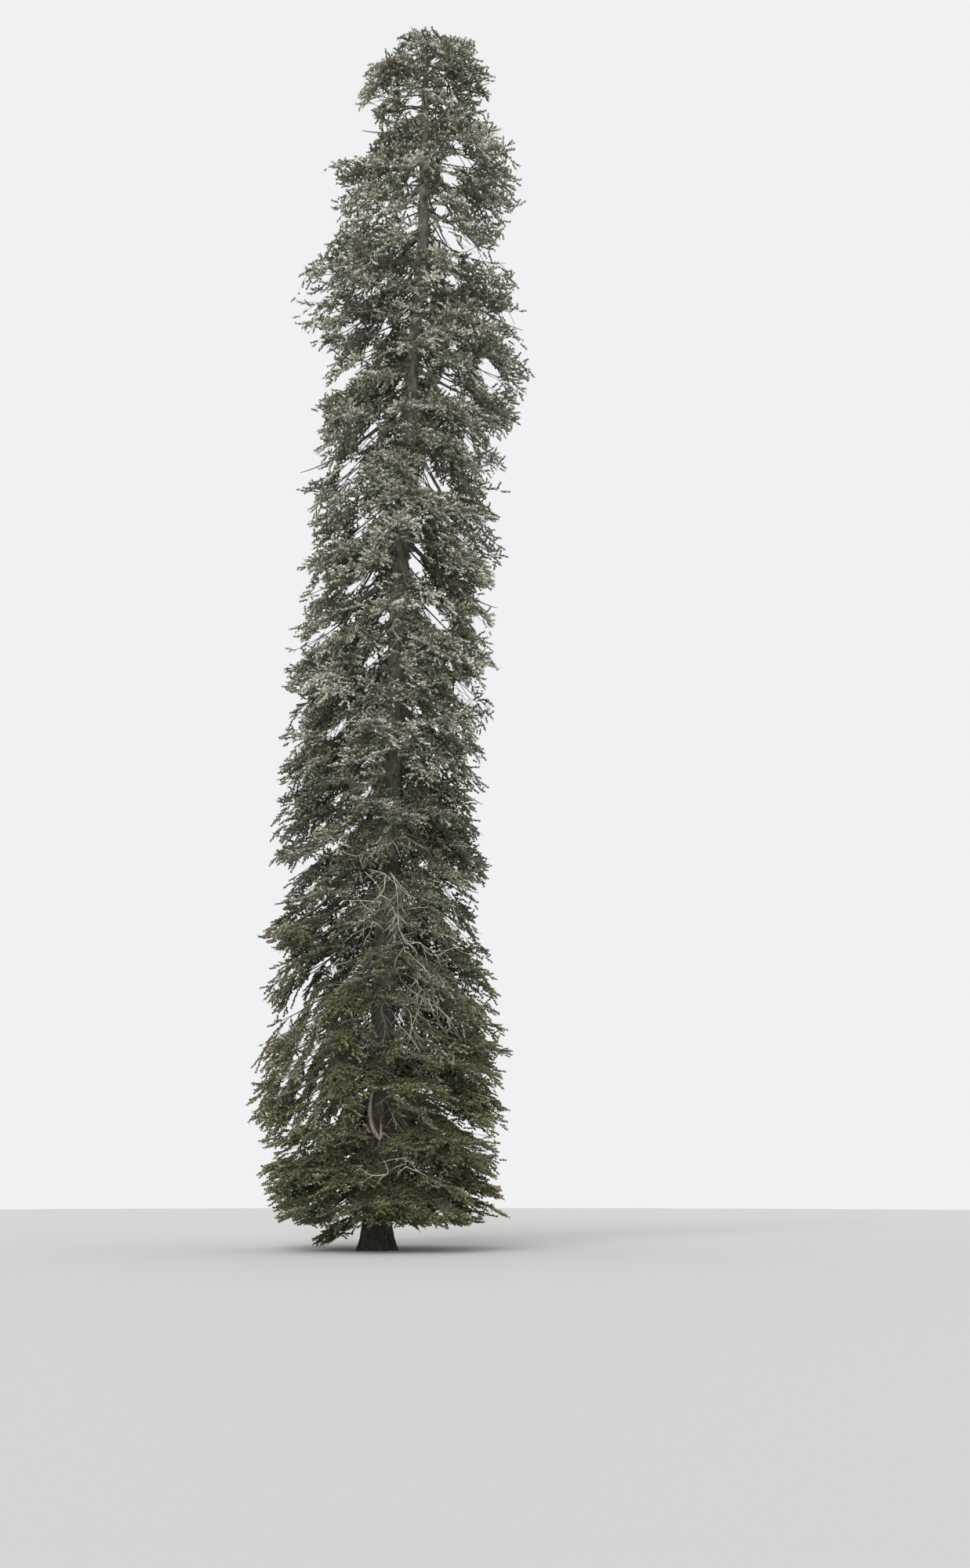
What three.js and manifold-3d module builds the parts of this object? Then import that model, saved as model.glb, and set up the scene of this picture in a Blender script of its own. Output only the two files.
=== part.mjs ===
// A tall fir with a narrow, ragged column of a crown, in millimetres, +Z up.
// The origin is the centre of the flat cut under the trunk, at ground level.
// +X is the right-hand side of the reference view and +Y leads away from the viewer.
//
// Every limb and spray is placed in crown coordinates, which follow the way the boughs hang:
//   shelf    the height at which a bough leaves the trunk's centre line,
//   azimuth  the compass direction in which it grows, 0 along +X,
//   share    how far out a point lies, 0 on the trunk's centre line and 1 at the crown's edge.
// A bough keeps its shelf and azimuth from trunk to tip, and crownPoint turns them into a point.

import * as THREE from "three";
import Module from "manifold-3d";

const wasm = await Module();
wasm.setup();

// Trunk: rows of height and sideways lean, then rows of height and radius
const TRUNK_LEAN = [[0, 0], [13000, 360], [19200, 630], [24000, 905], [28100, 1210], [34000, 1290]];
const TRUNK_RADIUS = [
  [0, 430], [700, 395], [2000, 365], [6000, 325], [13000, 262], [19200, 218],
  [24000, 182], [28100, 146], [31600, 98], [33750, 24],
];
const TRUNK_TOP = 33750;
const TRUNK_SIDES = 15;
const TRUNK_RINGS = 15;
const RING_CROWDING = 1.6; // over 1 sets the rings closer together near the ground
const FLARE_DEPTH = 190; // how far the root flare stands out at the ground
const FLARE_FADE = 380; // height in which the flare falls to a third
const ROOT_LOBES = 5;
const ROOT_LOBE_SHARE = 0.35;

// Crown: rows of height, reach to the left and reach to the right, from the trunk's centre line
const CROWN_REACH = [
  [300, 2800, 2800], [1200, 3450, 3750], [3900, 4150, 3850], [6400, 3750, 3600], [9600, 3650, 3150],
  [13400, 3400, 2950], [17200, 3400, 3050], [19800, 2850, 3200], [21300, 3250, 2950],
  [23700, 2800, 3450], [26500, 3650, 3300], [28300, 2750, 2500], [29600, 2950, 3150],
  [30900, 1700, 2350], [32500, 2150, 2050], [33500, 1150, 1450], [34000, 350, 450],
];
// Rows of height and how far a bough that ends there has fallen since it left the trunk
const BOUGH_FALL = [
  [0, 1550], [3000, 2300], [8000, 2700], [14000, 2400],
  [21000, 2100], [26000, 1500], [30000, 500], [34000, -400],
];
const FALL_EARLY = 1.45; // a bough falls steeply near the trunk and levels out towards its tip
const LOWEST_SHELF = 1950;
const HIGHEST_SHELF = 33350;
const CROWN_TOP = 34050;
const LOW_EDGE = 620; // the crown's lower edge, lowest where one bough hangs down on the left
const LOW_EDGE_LEFT = 90;

// Foliage: each mass fills its own cell of the crown, shelf by azimuth
const MASS_COUNT = 33;
const BOUGH_COUNT = 22; // the lower masses hang from a bough, the upper ones from the trunk itself
const GOLDEN_ANGLE = Math.PI * (3 - Math.sqrt(5));
const FIRST_AZIMUTH = 0.6;
const CELL_RADIUS = 2600; // radius at which the width of a cell is judged
const CELL_MARGIN = 55; // foliage keeps this far from the plane between two cells
const BOUGH_SHARE = 0.4; // a bough ends, and its mass begins, this far out
const INNER_SHARE = 0.44; // twigs and sprays stay outside this
const STEM_END_SHARE = 0.78;
const JOINT_GAP = 0.3;
const SLIVER = 14; // joining leaves edges and steps smaller than this, which are merged away

// Limb radii, at the trunk, at a bough's end and at the tips
const BOUGH_FOOT_RADIUS = 88;
const BOUGH_END_RADIUS = 58;
const STEM_TIP_RADIUS = 22;
const TWIG_RADIUS = 30;
const TWIG_TIP_RADIUS = 15;

// Twigs and sprays
const TWIGS_PER_MASS = 3;
const TWIG_SPREAD = 0.8; // how far a twig turns from its stem's line towards its own tip's line
const TWIG_END_SHARE = 0.76;
const SPRAY_THICKNESS_SHARE = 0.02;
const SIDE_SPRAY_OFFSET = 1150; // sideways distance between the tips of a twig's middle and side sprays
const MIDDLE_ROLL = 0.3;
const SIDE_ROLL = 0.85; // side sprays hang with their outer edge down
// Half outlines as rows of distance along the spray and half width, both as shares of its length
const MIDDLE_SPRAY = [[0.5, 0.36], [0.58, 0.14], [0.8, 0.2]];
const SIDE_SPRAY = [[0.5, 0.3], [0.6, 0.12]];
const SPRAY_HUB = 0.48; // where along a spray its thickest point lies

// The core inside each mass, a slab that slopes outwards from its upper edge to its lower one
const CORE_SECTORS = 8;
const CORE_MAX_REACH = 2300;
const CORE_FILL = [0.8, 1]; // least and greatest part of the way from the cell's centre to its edge
const CORE_FACE_FILL = 0.5; // how far out on the core its outer face is fullest
const CORE_FACE_SHARES = [0.82, 0.64]; // crown share of the outer face, low and high on the core
const CORE_EDGE_SHARES = [0.74, 0.5];
const CORE_BACK_SHARE = 0.55;
const CORE_SHRINK = 0.92; // step by which a corner is drawn in until it lies in its own space

const up = new THREE.Vector3(0, 0, 1);

// Plain arithmetic

function lerp(from, to, share) {
  return from + (to - from) * share;
}

// A repeatable number from 0 to 1 for each whole number
function chance(seed) {
  const wave = Math.sin(seed * 12.9898 + 4.1) * 43758.5453;
  return wave - Math.floor(wave);
}

// The value in one column of a table at a height, on straight lines between its rows
function readTable(table, height, column = 1) {
  const last = table.length - 1;
  if (height <= table[0][0]) return table[0][column];
  if (height >= table[last][0]) return table[last][column];
  const row = table.findIndex(([top]) => top > height);
  const [below, above] = [table[row - 1], table[row]];
  return lerp(below[column], above[column], (height - below[0]) / (above[0] - below[0]));
}

function wrapAngle(angle) {
  return Math.atan2(Math.sin(angle), Math.cos(angle));
}

// Crown coordinates

function reachAt(height, azimuth) {
  const right = (1 + Math.cos(azimuth)) / 2;
  return lerp(readTable(CROWN_REACH, height, 1), readTable(CROWN_REACH, height, 2), right);
}

function fallShare(share) {
  return FALL_EARLY * share - (FALL_EARLY - 1) * share ** 3;
}

function crownPoint(shelf, azimuth, share) {
  let height = shelf;
  for (let pass = 0; pass < 6; pass += 1) height = shelf - readTable(BOUGH_FALL, height) * fallShare(share);
  const radius = share * reachAt(height, azimuth);
  return new THREE.Vector3(
    readTable(TRUNK_LEAN, height) + radius * Math.cos(azimuth),
    radius * Math.sin(azimuth),
    height,
  );
}

function crownCoordinates(point) {
  const x = point.x - readTable(TRUNK_LEAN, point.z);
  const azimuth = Math.atan2(point.y, x);
  const radius = Math.hypot(x, point.y);
  const share = radius / reachAt(point.z, azimuth);
  return { radius, share, azimuth, shelf: point.z + readTable(BOUGH_FALL, point.z) * fallShare(share) };
}

// Masses and the cells that they keep to

const masses = Array.from({ length: MASS_COUNT }, (_, k) => ({
  shelf: lerp(LOWEST_SHELF, HIGHEST_SHELF, (k + 0.5) / MASS_COUNT),
  azimuth: FIRST_AZIMUTH + k * GOLDEN_ANGLE,
}));

function cellOffset(shelf, azimuth, mass) {
  return { along: CELL_RADIUS * wrapAngle(azimuth - mass.azimuth), rise: shelf - mass.shelf };
}

function nearestMass(shelf, azimuth) {
  const distances = masses.map((mass) => {
    const { along, rise } = cellOffset(shelf, azimuth, mass);
    return Math.hypot(along, rise);
  });
  return distances.indexOf(Math.min(...distances));
}

function lowEdgeAt(azimuth) {
  return lerp(LOW_EDGE, LOW_EDGE_LEFT, Math.max(0, -Math.cos(azimuth)) ** 2);
}

// Whether a point lies in a mass's own cell, clear of its neighbours, the limbs, the trunk and the ground
function inOwnSpace(point, k) {
  const { shelf, azimuth, share } = crownCoordinates(point);
  if (share < INNER_SHARE || point.z < lowEdgeAt(azimuth) || point.z > CROWN_TOP) return false;
  const own = cellOffset(shelf, azimuth, masses[k]);
  return masses.every((other, m) => {
    if (m === k) return true;
    const away = cellOffset(shelf, azimuth, other);
    const between = Math.hypot(away.along - own.along, away.rise - own.rise);
    const lead = away.along ** 2 + away.rise ** 2 - own.along ** 2 - own.rise ** 2;
    return lead / (2 * between) > CELL_MARGIN;
  });
}

// Solids

// A closed solid, with its triangles turned round if they face inwards
function solidFrom(points, triangles) {
  const vertProperties = new Float32Array(points.flatMap((p) => [p.x, p.y, p.z]));
  const build = (faces) => {
    const triVerts = new Uint32Array(faces.flat());
    return new wasm.Manifold(new wasm.Mesh({ numProp: 3, vertProperties, triVerts }));
  };
  const solid = build(triangles);
  return solid.volume() > 0 ? solid : build(triangles.map(([a, b, c]) => [a, c, b]));
}

// The largest of a solid's separate bodies, so that a loose scrap is dropped
function largestBody(solid) {
  return solid.decompose().reduce((best, body) => (body.volume() > best.volume() ? body : best));
}

// A closed tube through rings of equal length, with flat ends
function loft(rings) {
  const sides = rings[0].length;
  const triangles = [];
  for (let ring = 0; ring + 1 < rings.length; ring += 1) {
    for (let side = 0; side < sides; side += 1) {
      const here = ring * sides + side;
      const next = ring * sides + ((side + 1) % sides);
      triangles.push([here, next, next + sides], [here, next + sides, here + sides]);
    }
  }
  const lastRing = (rings.length - 1) * sides;
  for (let side = 1; side + 1 < sides; side += 1) {
    triangles.push([0, side + 1, side], [lastRing, lastRing + side, lastRing + side + 1]);
  }
  return solidFrom(rings.flat(), triangles);
}

// A limb along a line of points, with a radius at each and flat ends, which may face given directions
function limb(line, radii, sides, facing = {}) {
  const rings = line.map((point, i) => {
    const ahead = line[Math.min(i + 1, line.length - 1)];
    const behind = line[Math.max(i - 1, 0)];
    const along = ahead.clone().sub(behind).normalize();
    if (i === 0 && facing.first) along.copy(facing.first);
    if (i === line.length - 1 && facing.last) along.copy(facing.last);
    const across = new THREE.Vector3().crossVectors(along, up).normalize();
    const over = new THREE.Vector3().crossVectors(across, along);
    return Array.from({ length: sides }, (_, side) => {
      const turn = (2 * Math.PI * side) / sides;
      return point
        .clone()
        .addScaledVector(across, radii[i] * Math.cos(turn))
        .addScaledVector(over, radii[i] * Math.sin(turn));
    });
  });
  return loft(rings);
}

// The trunk, or the trunk grown thicker all round by a clearance
function trunkSolid(clearance = 0) {
  const rings = Array.from({ length: TRUNK_RINGS + 1 }, (_, ring) => {
    const height = TRUNK_TOP * (ring / TRUNK_RINGS) ** RING_CROWDING;
    const flare = FLARE_DEPTH * Math.exp(-height / FLARE_FADE);
    const lean = readTable(TRUNK_LEAN, height);
    return Array.from({ length: TRUNK_SIDES }, (_side, side) => {
      const turn = (2 * Math.PI * side) / TRUNK_SIDES;
      const lobe = 1 - ROOT_LOBE_SHARE + ROOT_LOBE_SHARE * Math.cos(ROOT_LOBES * turn);
      const radius = readTable(TRUNK_RADIUS, height) + flare * lobe + clearance;
      return new THREE.Vector3(lean + radius * Math.cos(turn), radius * Math.sin(turn), height);
    });
  });
  return loft(rings);
}

// The line of a bough or stem from one share of the reach to another
function boughLine(mass, fromShare, toShare, steps) {
  return Array.from({ length: steps + 1 }, (_, i) =>
    crownPoint(mass.shelf, mass.azimuth, lerp(fromShare, toShare, i / steps)),
  );
}

function taper(from, to, count) {
  return Array.from({ length: count }, (_, i) => lerp(from, to, i / (count - 1)));
}

function limbScale(mass) {
  return lerp(1.15, 0.55, mass.shelf / HIGHEST_SHELF);
}

const trunk = trunkSolid();
const trunkRoom = trunkSolid(JOINT_GAP + 0.1);

// The direction in which a bough runs where it ends and its stem begins
function jointDirection(mass) {
  const [before, , after] = boughLine(mass, BOUGH_SHARE - 0.02, BOUGH_SHARE + 0.02, 2);
  return after.sub(before).normalize();
}

function boughSolid(mass) {
  const line = boughLine(mass, 0.03, BOUGH_SHARE, 2);
  const size = limbScale(mass);
  const radii = taper(BOUGH_FOOT_RADIUS * size, BOUGH_END_RADIUS * size, line.length);
  return limb(line, radii, 5, { last: jointDirection(mass) }).subtract(trunkRoom);
}

// A mass's stem carries on from its bough's end, or starts inside the trunk and is cut clear of it
function stemOf(mass, hasBough) {
  const fromShare = hasBough ? BOUGH_SHARE : 0.02;
  const steps = hasBough ? 3 : 5;
  const line = boughLine(mass, fromShare, STEM_END_SHARE, steps);
  const first = jointDirection(mass);
  line[0].addScaledVector(first, JOINT_GAP);
  const size = limbScale(mass);
  const radii = taper(BOUGH_END_RADIUS * size, STEM_TIP_RADIUS * size, line.length);
  const whole = limb(line, radii, 3, hasBough ? { first } : {});
  // The point of the stem's own middle line at a share of the reach
  const at = (share) => {
    const place = ((share - fromShare) / (STEM_END_SHARE - fromShare)) * steps;
    const step = Math.min(Math.floor(place), steps - 1);
    return line[step].clone().lerp(line[step + 1], place - step);
  };
  return { at, solid: hasBough ? whole : whole.subtract(trunkRoom) };
}

// How far a mass's cell reaches from its centre in a direction
function cellReach(k, along, rise) {
  const reaches = masses.map((other) => {
    const away = cellOffset(other.shelf, other.azimuth, masses[k]);
    const towards = away.along * along + away.rise * rise;
    return towards > 0 ? (away.along ** 2 + away.rise ** 2) / (2 * towards) : CORE_MAX_REACH;
  });
  return Math.min(...reaches, CORE_MAX_REACH) - CELL_MARGIN;
}

function coreSolid(mass, k) {
  const place = (along, rise, share) =>
    crownPoint(mass.shelf + rise, mass.azimuth + along / CELL_RADIUS, share);
  const turnOf = (sector) => (2 * Math.PI * sector) / CORE_SECTORS;
  const ring = (fill, [lowShare, highShare]) =>
    Array.from({ length: CORE_SECTORS }, (_, sector) => {
      const [along, rise] = [Math.cos(turnOf(sector)), Math.sin(turnOf(sector))];
      const swell = lerp(...CORE_FILL, chance(k * CORE_SECTORS + sector + 300));
      const share = lerp(lowShare, highShare, (1 + rise) / 2);
      let reach = cellReach(k, along, rise) * swell * fill;
      let corner = place(along * reach, rise * reach, share);
      while (!inOwnSpace(corner, k) && reach > CELL_MARGIN) {
        reach *= CORE_SHRINK;
        corner = place(along * reach, rise * reach, share);
      }
      return corner;
    });
  const points = [
    place(0, 0, CORE_BACK_SHARE),
    ...ring(1, CORE_EDGE_SHARES),
    ...ring(CORE_FACE_FILL, CORE_FACE_SHARES),
    place(0, 0, CORE_FACE_SHARES[0]),
  ];
  const front = points.length - 1;
  const triangles = Array.from({ length: CORE_SECTORS }, (_, sector) => {
    const [edge, nextEdge] = [1 + sector, 1 + ((sector + 1) % CORE_SECTORS)];
    const [face, nextFace] = [edge + CORE_SECTORS, nextEdge + CORE_SECTORS];
    return [[0, nextEdge, edge], [edge, nextEdge, nextFace], [edge, nextFace, face], [face, nextFace, front]];
  });
  return solidFrom(points, triangles.flat());
}

// A toothed blade of needles from root to tip: its outline, with a raised middle above and below
function sprayCorners(root, tip, halfOutline, roll) {
  const along = tip.clone().sub(root);
  const length = along.length();
  along.normalize();
  const across = new THREE.Vector3().crossVectors(along, up).normalize().applyAxisAngle(along, roll);
  const over = new THREE.Vector3().crossVectors(across, along);
  const at = (distance, side, height = 0) =>
    root
      .clone()
      .addScaledVector(along, distance * length)
      .addScaledVector(across, side * length)
      .addScaledVector(over, height * length);
  const right = halfOutline.map(([distance, half]) => at(distance, half));
  const left = halfOutline.map(([distance, half]) => at(distance, -half)).reverse();
  const outline = [root.clone(), ...right, tip.clone(), ...left];
  const hubs = [at(SPRAY_HUB, 0, SPRAY_THICKNESS_SHARE / 2), at(SPRAY_HUB, 0, -SPRAY_THICKNESS_SHARE / 2)];
  return { outline, hubs };
}

function spraySolid({ outline, hubs }) {
  const count = outline.length;
  const triangles = outline.flatMap((_, i) => {
    const next = (i + 1) % count;
    return [[i, next, count], [next, i, count + 1]];
  });
  return solidFrom([...outline, ...hubs], triangles);
}

// A spray that keeps to its own space, drawn in once or twice if it has to be, or nothing
function fittedSpray(root, tip, halfOutline, roll, k) {
  for (const share of [1, 0.82, 0.64]) {
    const corners = sprayCorners(root, root.clone().lerp(tip, share), halfOutline, roll);
    const tested = [...corners.outline.slice(1), ...corners.hubs];
    if (tested.every((corner) => inOwnSpace(corner, k))) return [spraySolid(corners)];
  }
  return [];
}

// Tips are spread evenly over the crown, and each belongs to the mass in whose cell it lies
const tips = Array.from({ length: MASS_COUNT * TWIGS_PER_MASS }, (_, j) => {
  const shelf = lerp(LOWEST_SHELF - 250, HIGHEST_SHELF, (j + 0.5) / (MASS_COUNT * TWIGS_PER_MASS));
  const azimuth = j * GOLDEN_ANGLE;
  return { shelf, azimuth, seed: j, owner: nearestMass(shelf, azimuth), edge: lerp(0.92, 1.03, chance(j)) };
});

// A twig leaves the stem, turns towards its tip's line and ends in a fork of three sprays
function twigParts(mass, tip, k, stem) {
  const turn = wrapAngle(tip.azimuth - mass.azimuth);
  const lineAt = (spread, share) =>
    crownPoint(lerp(mass.shelf, tip.shelf, spread), mass.azimuth + turn * spread, share);
  const startShare = lerp(0.47, 0.58, chance(tip.seed + 500));
  const line = [stem.at(startShare), lineAt(TWIG_SPREAD, TWIG_END_SHARE)];
  if (!inOwnSpace(line[1], k)) return [];
  const twig = limb(line, [TWIG_RADIUS, TWIG_TIP_RADIUS], 3);
  const middleRoot = line[0].clone().lerp(line[1], 0.7);
  const sideRoot = line[0].clone().lerp(line[1], 0.45);
  const middleTip = crownPoint(tip.shelf, mass.azimuth + turn, tip.edge);
  const roll = lerp(-1, 1, chance(tip.seed + 900)) * MIDDLE_ROLL;
  const sprays = fittedSpray(middleRoot, middleTip, MIDDLE_SPRAY, roll, k);
  for (const side of [-1, 1]) {
    const swing = (side * SIDE_SPRAY_OFFSET) / reachAt(middleTip.z, tip.azimuth);
    const drop = lerp(-750, 100, chance(tip.seed * 2 + side + 1300));
    const sideTip = crownPoint(tip.shelf + drop, mass.azimuth + turn + swing, tip.edge * 0.95);
    sprays.push(...fittedSpray(sideRoot, sideTip, SIDE_SPRAY, side * SIDE_ROLL, k));
  }
  return [twig, ...sprays];
}

function massSolid(mass, k) {
  const own = tips.filter((tip) => tip.owner === k);
  const stem = stemOf(mass, k < BOUGH_COUNT);
  const parts = [coreSolid(mass, k), ...own.flatMap((tip) => twigParts(mass, tip, k, stem))];
  const foliage = parts.reduce((whole, part) => whole.add(part)).simplify(SLIVER);
  return largestBody(foliage.add(stem.solid));
}

// Bare limbs that died and hang in a hook beside the trunk, between the living boughs; the radius
// is the one at the trunk, and the lowest limb is broad where it was torn. Its sway is how far it
// curves aside before it hangs straight again.
const DEAD_LIMBS = [
  { shelf: 4450, azimuth: -1.45, reach: 800, radius: 60, sway: 300 },
  { shelf: 10300, azimuth: -1, reach: 1250, radius: 45, sway: 0 },
  { shelf: 18400, azimuth: -1.75, reach: 800, radius: 34, sway: 0 },
];
const SWAY_END_SHARE = 0.75;
const DEAD_LIMB_DROP = 1500;
const DEAD_LIMB_HOOK = 420;
const DEAD_LIMB_TIP_RADIUS = 9;

function deadLimbSolid({ shelf, azimuth, reach, radius, sway }) {
  const steps = 6;
  const line = Array.from({ length: steps + 1 }, (_, i) => {
    const share = i / steps;
    const out = reach * Math.sin((share * Math.PI) / 2.2);
    const height = shelf - DEAD_LIMB_DROP * Math.sin(Math.min(share * 1.25, 1) * (Math.PI / 2)) ** 2
      + DEAD_LIMB_HOOK * Math.max(share - 0.75, 0) * 4;
    const aside = sway * Math.sin(Math.min(share / SWAY_END_SHARE, 1) * Math.PI);
    return new THREE.Vector3(
      readTable(TRUNK_LEAN, height) + out * Math.cos(azimuth) + aside * Math.sin(azimuth),
      out * Math.sin(azimuth) - aside * Math.cos(azimuth),
      height,
    );
  });
  return limb(line, taper(radius, DEAD_LIMB_TIP_RADIUS, line.length), 5).subtract(trunkRoom);
}

// Materials

function matte(colour, roughness) {
  return new THREE.MeshStandardMaterial({ color: colour, roughness, metalness: 0 });
}

const bark = matte("#57493c", 0.95);
const deadWood = matte("#a39a8a", 0.9);
const needles = matte("#444d3b", 0.85);

// The tree

const tree = new THREE.Group();

function addNode(name, solid, material) {
  const { vertProperties, triVerts, numProp } = solid.getMesh();
  const positions = new Float32Array((vertProperties.length / numProp) * 3);
  for (let v = 0; v * numProp < vertProperties.length; v += 1) {
    for (let axis = 0; axis < 3; axis += 1) positions[v * 3 + axis] = vertProperties[v * numProp + axis];
  }
  const geometry = new THREE.BufferGeometry();
  geometry.setAttribute("position", new THREE.BufferAttribute(positions, 3));
  geometry.setIndex(new THREE.BufferAttribute(triVerts, 1));
  geometry.computeVertexNormals();
  const mesh = new THREE.Mesh(geometry, material);
  mesh.name = name;
  tree.add(mesh);
}

function numbered(word, k) {
  return `${word}_${String(k + 1).padStart(2, "0")}`;
}

addNode("trunk", trunk, bark);
masses.slice(0, BOUGH_COUNT).forEach((mass, k) => addNode(numbered("bough", k), boughSolid(mass), bark));
masses.forEach((mass, k) => addNode(numbered("foliage", k), massSolid(mass, k), needles));
DEAD_LIMBS.forEach((place, k) => addNode(numbered("dead_limb", k), deadLimbSolid(place), deadWood));

export default tree;
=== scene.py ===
import math

import bpy
import numpy as np
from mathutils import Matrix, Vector, noise


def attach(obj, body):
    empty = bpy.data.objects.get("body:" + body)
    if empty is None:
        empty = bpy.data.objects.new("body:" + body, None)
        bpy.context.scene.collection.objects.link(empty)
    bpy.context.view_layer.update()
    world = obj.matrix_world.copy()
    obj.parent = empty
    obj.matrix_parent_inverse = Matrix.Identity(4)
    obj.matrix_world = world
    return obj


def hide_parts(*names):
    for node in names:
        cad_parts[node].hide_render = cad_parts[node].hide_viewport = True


# A tall fir, in metres, +Z up, growing by the rule of the part's source:
#   shelf    the height at which a bough leaves the trunk's centre line,
#   azimuth  the compass direction in which it grows, 0 along +X,
#   share    how far out a point lies, 0 on the trunk's centre line and 1 at the crown's edge.

# The viewer's eye, and the camera. The picture is 1237 by 2000 pixels, its verticals are upright,
# and the tree stands left of its middle.
EYE = (2.93, -39.3, 1.68)
PICTURE_WIDTH = 1237
PICTURE_HEIGHT = 2000
FOCAL_PIXELS = 1860
SENSOR_LONG_SIDE = 36  # millimetres
PITCH = math.radians(2.6)
SHIFT_PIXELS = 430
VIEW_AHEAD = np.array([0, math.cos(PITCH), math.sin(PITCH)])
VIEW_UP = np.array([0, -math.sin(PITCH), math.cos(PITCH)])
UP = np.array([0, 0, 1])

# Trunk: rows of height and sideways lean, then rows of height and radius
TRUNK_LEAN = [(0, 0), (13, 0.36), (19.2, 0.63), (24, 0.905), (28.1, 1.21), (34, 1.29)]
TRUNK_RADIUS = [
    (0, 0.43), (0.7, 0.395), (2, 0.365), (6, 0.325), (13, 0.262), (19.2, 0.218),
    (24, 0.182), (28.1, 0.146), (31.6, 0.098), (33.75, 0.024),
]
TRUNK_TOP = 33.75
FLARE_DEPTH = 0.19
FLARE_FADE = 0.38
ROOT_LOBES = 5
ROOT_LOBE_SHARE = 0.35

# Crown: rows of height, reach to the left and reach to the right, from the trunk's centre line
CROWN_REACH = [
    (0.3, 2.8, 2.8), (1.2, 3.45, 3.75), (3.9, 4.15, 3.85), (6.4, 3.75, 3.6), (9.6, 3.65, 3.15),
    (13.4, 3.4, 2.95), (17.2, 3.4, 3.05), (19.8, 2.85, 3.2), (21.3, 3.25, 2.95),
    (23.7, 2.8, 3.45), (26.5, 3.65, 3.3), (28.3, 2.75, 2.5), (29.6, 2.95, 3.15),
    (30.9, 1.7, 2.35), (32.5, 2.15, 2.05), (33.5, 1.15, 1.45), (34, 0.35, 0.45),
]
# Rows of height and how far a bough that ends there has fallen since it left the trunk
BOUGH_FALL = [(0, 1.55), (3, 2.3), (8, 2.7), (14, 2.4), (21, 2.1), (26, 1.5), (30, 0.5), (34, -0.4)]
FALL_EARLY = 1.45  # a bough falls steeply near the trunk and levels out towards its tip
FALL_ROUNDS = 6  # the fall depends on the height that it leads to, which settles in this many rounds
LOWEST_SHELF = 1.95
HIGHEST_SHELF = 33.35
LOW_EDGE = 0.62  # the crown's lower edge, lowest where one bough hangs down on the left
LOW_EDGE_LEFT = 0.09
LOWEST_TIP = 0.1

# Masses of foliage, one to each foliage node of the frame
MASS_COUNT = 33
MAIN_BOUGH_COUNT = 22
GOLDEN_ANGLE = math.pi * (3 - math.sqrt(5))
FIRST_AZIMUTH = 0.6
CELL_RADIUS = 2.6  # radius at which the width of a mass is judged

# Thin boughs, the two forks of each, and the short boughs that fill the crown round the trunk
BOUGH_COUNT = 370
SHORT_BOUGH_COUNT = 266
# Shelf and azimuth of more boughs, at the skirt's foot, round the top and at fuller places between
MORE_BOUGHS = [
    (1.3, 2.95), (1.45, 3.25), (1.2, 3.45), (1.55, -1.2), (1.5, -1.7), (1.6, -0.6), (31.3, 3), (31.7, 3.5),
    (32, 2.6), (32.3, 3.2), (32.6, 3.7), (32.2, 0.2), (32.7, -0.4), (32.9, 2.9), (30.1, 0.1), (30.4, -0.2),
    (29.9, 0.25), (30.7, 0), (30.3, 3), (30.6, 3.3), (30.2, 2.7), (30.8, 3.1), (33, 0.6), (33.1, -0.2),
    (33.2, 3.4), (33.25, 1.5), (33.3, -1.3), (33.3, 0.1), (33.35, 2.3), (33.35, 4.2), (32.5, 2.8),
    (32.7, 3.3), (32.1, 3), (31.8, 2.9), (32.9, 3.1), (32.3, 2.5), (32.4, 3.8), (31.6, 3.2), (23.35, 3.1),
    (27.5, 3.15), (19.6, 3.1), (6.3, 3.1), (25.9, 0.15), (25.4, -0.1), (6.8, 3.3), (18.7, 2.95),
    (17.4, 3.35), (20.9, 3), (16.2, 3.1), (15.3, 3.2), (14.3, 3), (16.9, 2.9), (33.25, -1), (33, -0.5),
    (32.6, -0.9), (32.8, -1.9), (33.3, -2.2), (32.2, -0.8), (32.4, -1.5), (24.9, 3.2), (24.8, 0.05),
    (18.9, 0.05), (18.3, -0.1), (17.8, 0.12), (17.2, -0.05), (31.9, 0.1), (31.2, 0), (26.6, 3.1),
    (28.3, 3.15), (20.3, 3.1), (10.8, 3.1), (9.9, 3.2), (12.8, 0), (30.5, 3.15), (24.6, 3.05),
]
BOUGH_RINGS = 7
BOUGH_SIDES = 4
FOOT_RADII = (0.026, 0.014, 0.012)  # of a thin bough, of its forks and of a short bough
TIP_TAPER = 0.25
BOUGH_FOOT_SHARE = 0.04
FIRST_SHELF_DROP = 0.3  # thin boughs start this far under the lowest mass
BELOW_TOP = 0.65  # and end this far under the highest one
SHORT_BELOW_TOP = 1.5
SHELF_CROWDING = 1.1  # over 1 sets them closer together near the ground
BOUGH_PULL = 0.2  # how far boughs gather towards the middle line of their mass
WHORL_STEP = 0.72  # boughs leave the trunk in rings about this far apart
WHORL_PULL = 0.7
BOUGH_EDGE = (0.68, 0.98)  # least and greatest share that a bough reaches
SHORT_BOUGH_EDGE = (0.24, 0.46)
BOUGH_WAVE = 0.14
BOUGH_LIFT = 0.12
WAVE_RATE = 5
LIFT_RATE = 6
FORKS = (-1.0, 1.0)  # one to each side
FORK_SHARE = (0.25, 0.55)
FORK_TURN = 0.32
FORK_TURN_SPREAD = (0.6, 1.3)
FORK_LIFT = (-0.55, 0.35)
FORK_PARTING = 0.35  # a fork leaves its bough gradually, in this share of the way out
FORK_BARE = 0.12  # bare part of a fork
SHORT_BOUGH_BARE = 0.15

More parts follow.
